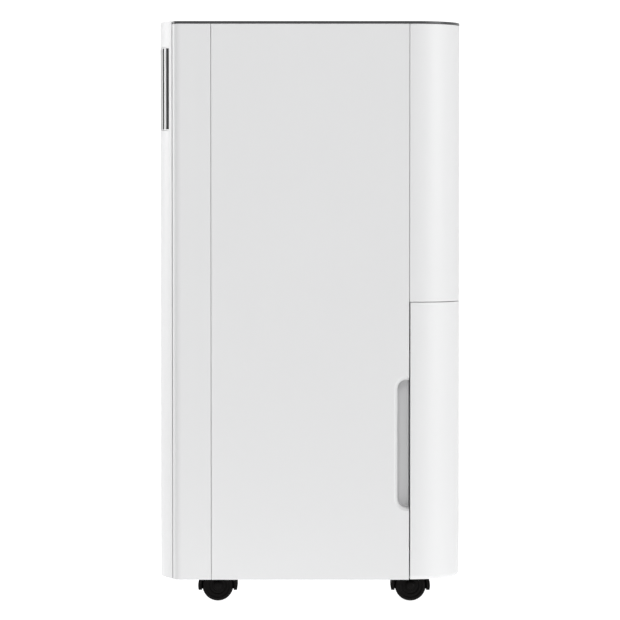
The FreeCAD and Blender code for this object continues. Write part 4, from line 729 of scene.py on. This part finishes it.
def outlet_ribs():
    """Upright ribs across the outlet: dark blades with white front edges that follow the bow."""
    low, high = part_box("outlet_grille")
    pitch = 10.2 * MM
    set_back = 0.15 * MM
    ribs = 2 * int(high.x / pitch) + 1
    tree = Growth("outlet_ribs", ribs=ribs, pitch=pitch, rib_width=3.5 * MM, cap_depth=0.9 * MM,
                  rail_height=1 * MM, height=high.z - low.z, half_width=high.x,
                  flat_half=FLAT_HALF, bow_radius=BOW_RADIUS, front=FRONT_FACE, back=high.y)
    middle = (low.z + high.z) / 2
    x, y, z = tree.here()
    run = (abs(x) - tree.size("flat_half")).most(0.0)
    radius = tree.size("bow_radius")
    bow = tree.size("front") + set_back + radius - (radius * radius - run * run).root()
    first = (tree.size("ribs") - 1.0) * tree.size("pitch") / -2.0
    points = tree.row(tree.size("ribs"), tree.join(tree.size("pitch")), tree.join(first))
    blade = tree.cube(tree.size("rib_width"), 1.0, tree.size("height"))
    rail = tree.cube(tree.size("half_width") * 2.0, 1.0, tree.size("rail_height"), (97, 2, 2))
    raised = (tree.size("height") - tree.size("rail_height")) / 2.0
    rails = tree.node("GeometryNodeJoinGeometry", None, {0: [
        tree.move(rail, tree.join(z=raised)), tree.move(rail, tree.join(z=-raised))]})

    def between(shape, start, end):
        depth = start + (y + 0.5) * (end - start)
        return tree.reshape(shape, tree.join(x, depth, z + middle))

    cap_back = bow + tree.size("cap_depth")
    dark = between(tree.copies(points, blade), cap_back, tree.size("back"))
    white = between(tree.copies(points, blade), bow, cap_back)
    frame_rails = between(rails, bow, tree.size("back"))
    mesh = tree.grow(tree.finished(dark, "outlet_dark"), tree.finished(white, "outlet"),
                     tree.finished(frame_rails, "outlet"))
    item = round_edges(grown_piece("outlet_ribs", mesh), 0.25 * MM, 2)
    return replace_node(item, "outlet_grille")


def intake_louvres():
    """Slanting slats in a plain border, with upright stiffeners behind them."""
    low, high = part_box("intake_grille")
    pitch = 9.5 * MM
    border = 6 * MM
    stiffener_width = 1.6 * MM
    thinning = 0.35
    slats = int((high.z - low.z - 2 * border) / pitch) + 1
    tree = Growth("intake_louvres", slats=slats, pitch=pitch, slat_height=4.6 * MM,
                  slat_depth=high.y - low.y, half_width=high.x - border / 2, border=border,
                  half_height=(high.z - low.z) / 2, stiffeners=7, slant=0.45)
    middle = (low + high) / 2
    x, y, z = tree.here()
    depth = tree.size("slat_depth")
    side = tree.size("half_width")
    half_height = tree.size("half_height")
    border_wide = tree.size("border")
    start = (tree.size("slats") - 1.0) * tree.size("pitch") / -2.0
    points = tree.row(tree.size("slats"), tree.join(z=tree.size("pitch")), tree.join(z=start))
    slat = tree.cube(side * 2.0, depth, tree.size("slat_height"), (2, 4, 2))
    taper = 1.0 - (y / depth + 0.5) * thinning
    slanted = tree.reshape(slat, tree.join(x, y, z * taper - (y - depth / 2.0) * tree.size("slant")))
    field = tree.copies(points, slanted)
    spacing = side * 2.0 / (tree.size("stiffeners") + 1.0)
    posts = tree.row(tree.size("stiffeners"), tree.join(spacing), tree.join(spacing - side, depth * -0.28))
    top = half_height - border_wide / 2.0
    stiff = tree.copies(posts, tree.cube(stiffener_width, depth * 0.4, top * 2.0))
    upright = tree.cube(border_wide, depth, half_height * 2.0)
    level = tree.cube(side * 2.0, depth, border_wide)
    parts = [field, stiff, tree.move(upright, tree.join(side)), tree.move(upright, tree.join(-side)),
             tree.move(level, tree.join(z=top)), tree.move(level, tree.join(z=-top))]
    joined = tree.node("GeometryNodeJoinGeometry", None, {0: parts})
    placed = tree.move(joined, tuple(middle))
    mesh = tree.grow(tree.finished(placed, "grille"))
    item = round_edges(grown_piece("intake_louvres", mesh), 0.4 * MM, 2)
    return replace_node(item, "intake_grille")


def filter_threads():
    """A woven mesh of fine threads, one layer upright and one level."""
    low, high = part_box("filter_mesh")
    pitch = 2.6 * MM
    across = int((high.x - low.x) / pitch)
    upwards = int((high.z - low.z) / pitch)
    tree = Growth("filter_threads", across=across, upwards=upwards, width=high.x - low.x,
                  height=high.z - low.z, thread=0.38 * MM)
    width = tree.size("width")
    height = tree.size("height")
    thread = tree.size("thread")
    step_x = width / tree.size("across")
    step_z = height / tree.size("upwards")
    first_upright = tree.join((step_x - width) / 2.0, thread / 2.0)
    first_level = tree.join(0.0, thread / -2.0, (step_z - height) / 2.0)
    warp = tree.copies(tree.row(tree.size("across"), tree.join(step_x), first_upright),
                       tree.cube(thread, thread, height))
    weft = tree.copies(tree.row(tree.size("upwards"), tree.join(z=step_z), first_level),
                       tree.cube(width, thread, thread))
    both = tree.node("GeometryNodeJoinGeometry", None, {0: [warp, weft]})
    placed = tree.move(both, tuple((low + high) / 2))
    item = grown_piece("filter_threads", tree.grow(tree.finished(placed, "filter_mesh")))
    return replace_node(item, "filter_mesh")


def fin_pack(node):
    """A pack of thin corrugated fins between two end plates."""
    low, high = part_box(node)
    pitch = 2.4 * MM
    count = int((high.x - low.x) / pitch)
    tree = Growth(node + "_pack", fins=count, depth=high.y - low.y, height=high.z - low.z,
                  length=high.x - low.x, fin_thick=0.22 * MM, wave=0.35 * MM, end_plate=0.8 * MM)
    x, y, z = tree.here()
    span = tree.size("length") - tree.size("end_plate") * 2.0
    step = span / tree.size("fins")
    fin = tree.cube(tree.size("fin_thick"), tree.size("depth"), tree.size("height"), (2, 9, 2))
    sway = (y / tree.size("depth") * 18.0).sine() * tree.size("wave")
    wavy = tree.reshape(fin, tree.join(x + sway, y, z))
    fins = tree.copies(tree.row(tree.size("fins"), tree.join(step), tree.join((step - span) / 2.0)), wavy)
    plate = tree.cube(tree.size("end_plate"), tree.size("depth"), tree.size("height"))
    end = (tree.size("length") - tree.size("end_plate")) / 2.0
    parts = [fins, tree.move(plate, tree.join(end)), tree.move(plate, tree.join(-end))]
    joined = tree.node("GeometryNodeJoinGeometry", None, {0: parts})
    mesh = tree.grow(tree.finished(tree.move(joined, tuple((low + high) / 2)), "fin"))
    return replace_node(grown_piece(node + "_pack", mesh), node)


def fan_blades():
    """Forward-curved blades in a ring; the wheel's plate, hub and rim are turned separately."""
    low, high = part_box("fan_wheel")
    axis = Vector((0, 0, (low.z + high.z) / 2))
    rim = (high.z - low.z) / 2
    tree = Growth("fan_blades", blades=36, inner=rim - 14 * MM, chord=13 * MM, depth=high.y - low.y,
                  blade_thick=1.1 * MM, curl=0.32)
    x, y, z = tree.here()
    blade = tree.cube(tree.size("chord"), tree.size("depth") - 2 * MM, tree.size("blade_thick"), (7, 2, 2))
    along = x / tree.size("chord") + 0.5
    curled = tree.reshape(blade, tree.join(
        x + tree.size("inner") + tree.size("chord") / 2.0, y,
        z + (along * along) * tree.size("chord") * tree.size("curl")))
    points = tree.row(tree.size("blades"), (0.0, 0.0, 0.0), (0.0, 0.0, 0.0))
    index = tree.node("GeometryNodeInputIndex")
    turn = index * (2 * math.pi) / tree.size("blades")
    ring_of_blades = tree.copies(points, curled, tree.join(y=turn))
    placed = tree.move(ring_of_blades, (0.0, (low.y + high.y) / 2, axis.z))
    mesh = tree.grow(tree.finished(placed, "fan_plastic"))
    smooth(mesh)
    item = grown_piece("fan_blades", mesh)
    replace_node(item, "fan_wheel")
    shaft = 4.05 * MM
    plate = [(shaft, low.y), (rim, low.y), (rim, low.y + 2 * MM), (rim * 0.5, low.y + 3.2 * MM),
             (12 * MM, low.y + 12 * MM), (12 * MM, low.y + 30 * MM), (shaft, low.y + 30 * MM)]
    band = [(rim - 14 * MM, high.y - 2 * MM), (rim, high.y - 3 * MM), (rim, high.y),
            (rim - 13 * MM, high.y)]
    for name, profile in (("fan_plate", plate), ("fan_rim", band)):
        mesh = turned(name, profile, axis, "Y", 96)
        smooth(mesh)
        wheel = new_piece(name, mesh, finishes["fan_plastic"])
        round_edges(wheel, 0.4 * MM, 2)
        ride_with(wheel, "fan_wheel")


def caster_wheel(node):
    """A twin-caster wheel with a grooved tread, a stepped dish and a hub cap."""
    low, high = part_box(node)
    centre = (low + high) / 2
    outward = outer_side(node)
    half = (high.x - low.x) / 2
    tread = (high.z - low.z) / 2
    bore = 2.55 * MM
    rim = tread * 0.8
    profile = [
        (bore, -half), (tread - 2.6 * MM, -half), (tread - 0.8 * MM, -half + 0.7 * MM),
        (tread, -half + 2.4 * MM), (tread, -1.1 * MM), (tread - 0.5 * MM, -0.6 * MM),
        (tread - 0.5 * MM, 0.6 * MM), (tread, 1.1 * MM), (tread, half - 2.4 * MM),
        (tread - 0.8 * MM, half - 0.7 * MM), (tread - 2.6 * MM, half), (rim, half),
        (rim - 0.6 * MM, half - 0.9 * MM), (rim * 0.72, half - 1.2 * MM), (rim * 0.66, half - 2 * MM),
        (5.2 * MM, half - 2 * MM), (4.6 * MM, half - 0.2 * MM), (bore, half - 0.2 * MM),
    ]
    facing = [(radius, along * outward) for radius, along in profile]
    mesh = turned(node + "_turned", facing, centre, "X", 72)
    smooth(mesh, 25)
    item = new_piece(node + "_turned", mesh, finishes["wheel"])
    round_edges(item, 0.25 * MM, 2, 28)
    replace_node(item, node)
    cap = [(0.0, half + 0.4 * MM), (4.3 * MM, half + 0.4 * MM), (4.3 * MM, half + 0.7 * MM),
           (3.9 * MM, half + 1.1 * MM), (2 * MM, half + 1.5 * MM), (0.0, half + 1.6 * MM)]
    facing = [(radius, along * outward) for radius, along in cap]
    mesh = turned(node + "_cap", facing, centre, "X", 40)
    smooth(mesh, 40)
    ride_with(new_piece(node + "_cap", mesh, finishes["wheel"]), node)


def outer_side(node):
    """1 when a wheel's outer face looks to +X, -1 when it looks to -X."""
    low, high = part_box(node)
    fork_low, fork_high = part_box(node.rsplit("_", 2)[0] + "_fork")
    return 1 if low.x + high.x > fork_low.x + fork_high.x else -1


def cross_screw():
    """A pan-head screw with a cross recess, 7 mm across, its head towards +Y."""
    arm, width, head, depth = 2.1 * MM, 0.55 * MM, 3.5 * MM, 1.2 * MM
    corners = [(arm, width), (width, width), (width, arm),
               (-width, arm), (-width, width), (-arm, width),
               (-arm, -width), (-width, -width), (-width, -arm),
               (width, -arm), (width, -width), (arm, -width)]
    outline = []
    for index, corner in enumerate(corners):
        after = corners[(index + 1) % len(corners)]
        outline.append(corner)
        outline.append(((corner[0] + after[0]) / 2, (corner[1] + after[1]) / 2))
    loops = []
    for level, scale in ((-depth, 0.6), (0.0, 1.0)):
        loops.append([(x * scale, level, z * scale) for x, z in outline])
    for level, radius in ((0.0, 2.4 * MM), (-0.35 * MM, 3.1 * MM), (-0.9 * MM, head), (-1.8 * MM, head)):
        loops.append([])
        for x, z in outline:
            angle = math.atan2(z, x)
            loops[-1].append((radius * math.cos(angle), level, radius * math.sin(angle)))
    vertices = [point for loop in loops for point in loop]
    count = len(outline)
    faces = [tuple(range(count)), tuple(reversed(range(count * (len(loops) - 1), count * len(loops))))]
    for level in range(len(loops) - 1):
        for index in range(count):
            after = (index + 1) % count
            faces.append((level * count + index, level * count + after,
                          (level + 1) * count + after, (level + 1) * count + index))
    return mesh_from(vertices, faces, "cross_screw")


def screw_places():
    """Where the rear shell's screws sit: three down each side of the intake grille."""
    low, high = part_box("rear_shell")
    rear_corner = 50 * MM
    side = (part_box("intake_grille")[1].x + high.x - rear_corner) / 2
    inset = 14 * MM
    places = []
    for x in (-side, side):
        for z in (low.z + inset, (low.z + high.z) / 2, high.z - inset):
            places.append(Vector((x, high.y - 0.7 * MM, z)))
    return places


def rear_screws():
    """One cross screw in each of the rear shell's pockets."""
    points = bpy.data.meshes.new("screw_places")
    points.from_pydata(screw_places(), [], [])
    tree = Growth("rear_screws", scale=1.0)
    holder = bpy.data.objects.new("screw_places", points)
    head = bpy.data.objects.new("screw_head", cross_screw())
    spots, shape = [
        tree.node("GeometryNodeObjectInfo", {"transform_space": "ORIGINAL"}, {"Object": source}, "Geometry")
        for source in (holder, head)]
    scale = tree.size("scale")
    sized = tree.node("GeometryNodeTransform", None,
                      {"Geometry": shape, "Scale": tree.join(scale, scale, scale)})
    mesh = tree.grow(tree.finished(tree.copies(spots, sized), "steel"))
    bpy.data.objects.remove(holder)
    bpy.data.objects.remove(head)
    smooth(mesh, 40)
    return ride_with(grown_piece("rear_screws", mesh), "rear_shell")


def sunk_rear_shell():
    """The rear shell with round screw pockets and rounded edges."""
    mesh = clean_copy("rear_shell")
    item = new_piece("rear_shell_skin", mesh, finishes["casing"])
    for place in screw_places():
        profile = [(0.0, 1 * MM), (4.2 * MM, 1 * MM), (4.2 * MM, -0.9 * MM), (0.0, -0.9 * MM)]
        cutter = new_piece("pocket", turned("pocket", profile, place, "Y", 40))
        pocket = item.modifiers.new("pocket", "BOOLEAN")
        pocket.object = cutter
        pocket.operation = "DIFFERENCE"
        pocket.solver = "EXACT"
        bpy.context.view_layer.update()
        evaluated = item.evaluated_get(bpy.context.evaluated_depsgraph_get())
        cut = bpy.data.meshes.new_from_object(evaluated)
        item.modifiers.clear()
        item.data = cut
        bpy.data.objects.remove(cutter)
    smooth(item.data)
    round_edges(item, 0.25 * MM, 3)
    return replace_node(item, "rear_shell")


def button_cap(node, marks):
    """A push button with a shallow dished top and its printed mark."""
    low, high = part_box(node)
    centre = (low + high) / 2
    radius = 8 * MM
    flange = (high.x - low.x) / 2
    top = high.z - centre.z
    bottom = low.z - centre.z
    profile = [(0.0, bottom), (flange, bottom), (flange, bottom + 2.2 * MM), (radius, bottom + 2.3 * MM),
               (radius, top - 0.5 * MM), (radius - 0.5 * MM, top), (radius - 1.4 * MM, top),
               (radius - 3 * MM, top - 0.25 * MM), (0.0, top - 0.4 * MM)]
    finishes[node] = mark_finish(node, marks)
    mesh = turned(node + "_cap", profile, centre, "Z", 72)
    smooth(mesh)
    return replace_node(new_piece(node + "_cap", mesh, finishes[node]), node)


def weld_bead():
    """The weld bead round the compressor's can, whose axis is level with the accumulator's in Y."""
    low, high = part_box("compressor")
    beside_low, beside_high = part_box("suction_accumulator")
    can_axis = Vector((-20 * MM, (beside_low.y + beside_high.y) / 2, 0))
    radius = 50 * MM
    seam = low.z + (high.z - low.z) * 0.62
    bead = [(radius - 0.5 * MM, seam - 2.2 * MM), (radius + 0.8 * MM, seam - 1.3 * MM),
            (radius + 1.3 * MM, seam), (radius + 0.8 * MM, seam + 1.3 * MM),
            (radius - 0.5 * MM, seam + 2.2 * MM)]
    mesh = turned("weld_bead", bead, can_axis, "Z", 96)
    smooth(mesh, 60)
    ride_with(new_piece("weld_bead", mesh, finishes["compressor_paint"]), "compressor")


# --- the object -------------------------------------------------------------------------------

def dress_outside():
    for node in ("side_panel_left", "side_panel_right"):
        side_panel(node)
    curled_node("front_shell", 0.12 * MM)
    rounded_node("front_panel", 0.7 * MM)
    rounded_node("tank_cover", 0.25 * MM)
    curled_node("control_panel", 0.5 * MM)
    rounded_node("display_window", 0.25 * MM, 2)
    sunk_rear_shell()
    rear_screws()
    outlet_ribs()
    intake_louvres()
    marks = {"button_power": power_mark, "button_mode": drop_mark, "button_fan": fan_mark,
             "button_timer": clock_mark}
    for node, mark in marks.items():
        button_cap(node, mark)


def dress_inside():
    for node in ("bulkhead", "fan_scroll", "drip_tray", "tank_tub", "tank_lid", "tank_handle",
                 "tank_float", "filter_frame", "tank_switch", "cord_gland"):
        rounded_node(node, 0.35 * MM, 2)
    filter_threads()
    fin_pack("condenser_fins")
    fin_pack("evaporator_fins")
    fan_blades()
    weld_bead()


def dress_casters():
    for node in frame["nodes"]:
        if node.endswith("_wheel") and node.startswith("caster"):
            caster_wheel(node)
        elif node.endswith("_fork"):
            rounded_node(node, 0.5 * MM)


def finish_the_rest():
    """Every CAD node that stays gets the finish of its slot."""
    for name, item in frame["nodes"].items():
        item.data.materials.clear()
        item.data.materials.append(finishes[slot_of(name)])


# --- studio -----------------------------------------------------------------------------------

def floor():
    """A pale, faintly mottled sheet that glows a little, and more brightly near the object as a painted
    pool of light, so that shadows stay light.
    """
    mesh = bpy.data.meshes.new("floor")
    reach = 40.0
    painted_light_pool = 1.18
    mesh.from_pydata([(-reach, -reach, 0), (reach, -reach, 0), (reach, reach, 0), (-reach, reach, 0)],
                     [], [(0, 1, 2, 3)])
    finish = Finish("floor_pale", 0.9, Emission_Strength=0.83)
    mottle = finish.noise(3.0, 3.0)
    finish.feed("Base Color", finish.tint(mottle, (0.34, 0.34, 0.34), (0.36, 0.36, 0.36)))
    x, y = finish.split(finish.place)[:2]
    # Painted light: the floor glows 1.18 times as bright within 0.3 m of the middle, fading out by 0.6 m, a
    # pool of light that lifts the shadows under the object
    near = finish.ramp((x * x + y * y).root(), (0.3, 1), (0.6, 0))
    finish.feed("Emission Color", finish.tint(near, (1, 1, 1), (painted_light_pool, painted_light_pool, painted_light_pool)))
    new_piece("floor", mesh, finish.material)


def sun(name, azimuth, elevation, strength, spread):
    """A soft directional light; azimuth is counted from +X towards +Y."""
    light = bpy.data.lights.new(name, "SUN")
    light.energy = strength
    light.angle = math.radians(spread)
    item = bpy.data.objects.new(name, light)
    turn = math.radians(azimuth)
    lift = math.radians(elevation)
    towards = Vector((math.cos(turn) * math.cos(lift), math.sin(turn) * math.cos(lift), math.sin(lift)))
    item.rotation_euler = towards.to_track_quat("Z", "Y").to_euler()
    bpy.context.scene.collection.objects.link(item)


def surroundings():
    """An even white room: white where it is seen or mirrored, softer where it lights the object."""
    lighting = 0.08
    added_where_seen = 1.1
    added_where_mirrored = 0.85
    world = bpy.data.worlds.new("white_room")
    world.use_nodes = True
    bpy.context.scene.world = world
    wires = Wires(world.node_tree)
    background = world.node_tree.nodes["Background"]
    background.inputs["Color"].default_value = (1, 1, 1, 1)
    seen = wires.node("ShaderNodeLightPath", None, None, "Is Camera Ray")
    mirrored = wires.node("ShaderNodeLightPath", None, None, "Is Glossy Ray")
    strength = lighting + seen * added_where_seen + mirrored * added_where_mirrored
    world.node_tree.links.new(strength.socket, background.inputs["Strength"])


def camera():
    """A long lens 3.2 m from the left side panel, a little above its middle."""
    eye = Vector((3.393, 0.0, 0.417))
    target = Vector((0.193, 0.0, 0.3045))
    data = bpy.data.cameras.new("view")
    data.lens = 181.4
    data.sensor_width = 36
    item = bpy.data.objects.new("view", data)
    item.location = eye
    item.rotation_euler = (target - eye).to_track_quat("-Z", "Y").to_euler()
    bpy.context.scene.collection.objects.link(item)
    bpy.context.scene.camera = item


def studio():
    bpy.context.scene.view_settings.view_transform = "Standard"
    floor()
    surroundings()
    sun("rear_fill", azimuth=60, elevation=12, strength=1.25, spread=35)
    sun("front_key", azimuth=-120, elevation=14, strength=1.4, spread=35)
    sun("side_fill", azimuth=-4, elevation=38, strength=0.62, spread=25)
    sun("ceiling", azimuth=20, elevation=80, strength=0.3, spread=60)
    camera()


dress_outside()
dress_inside()
dress_casters()
finish_the_rest()
studio()
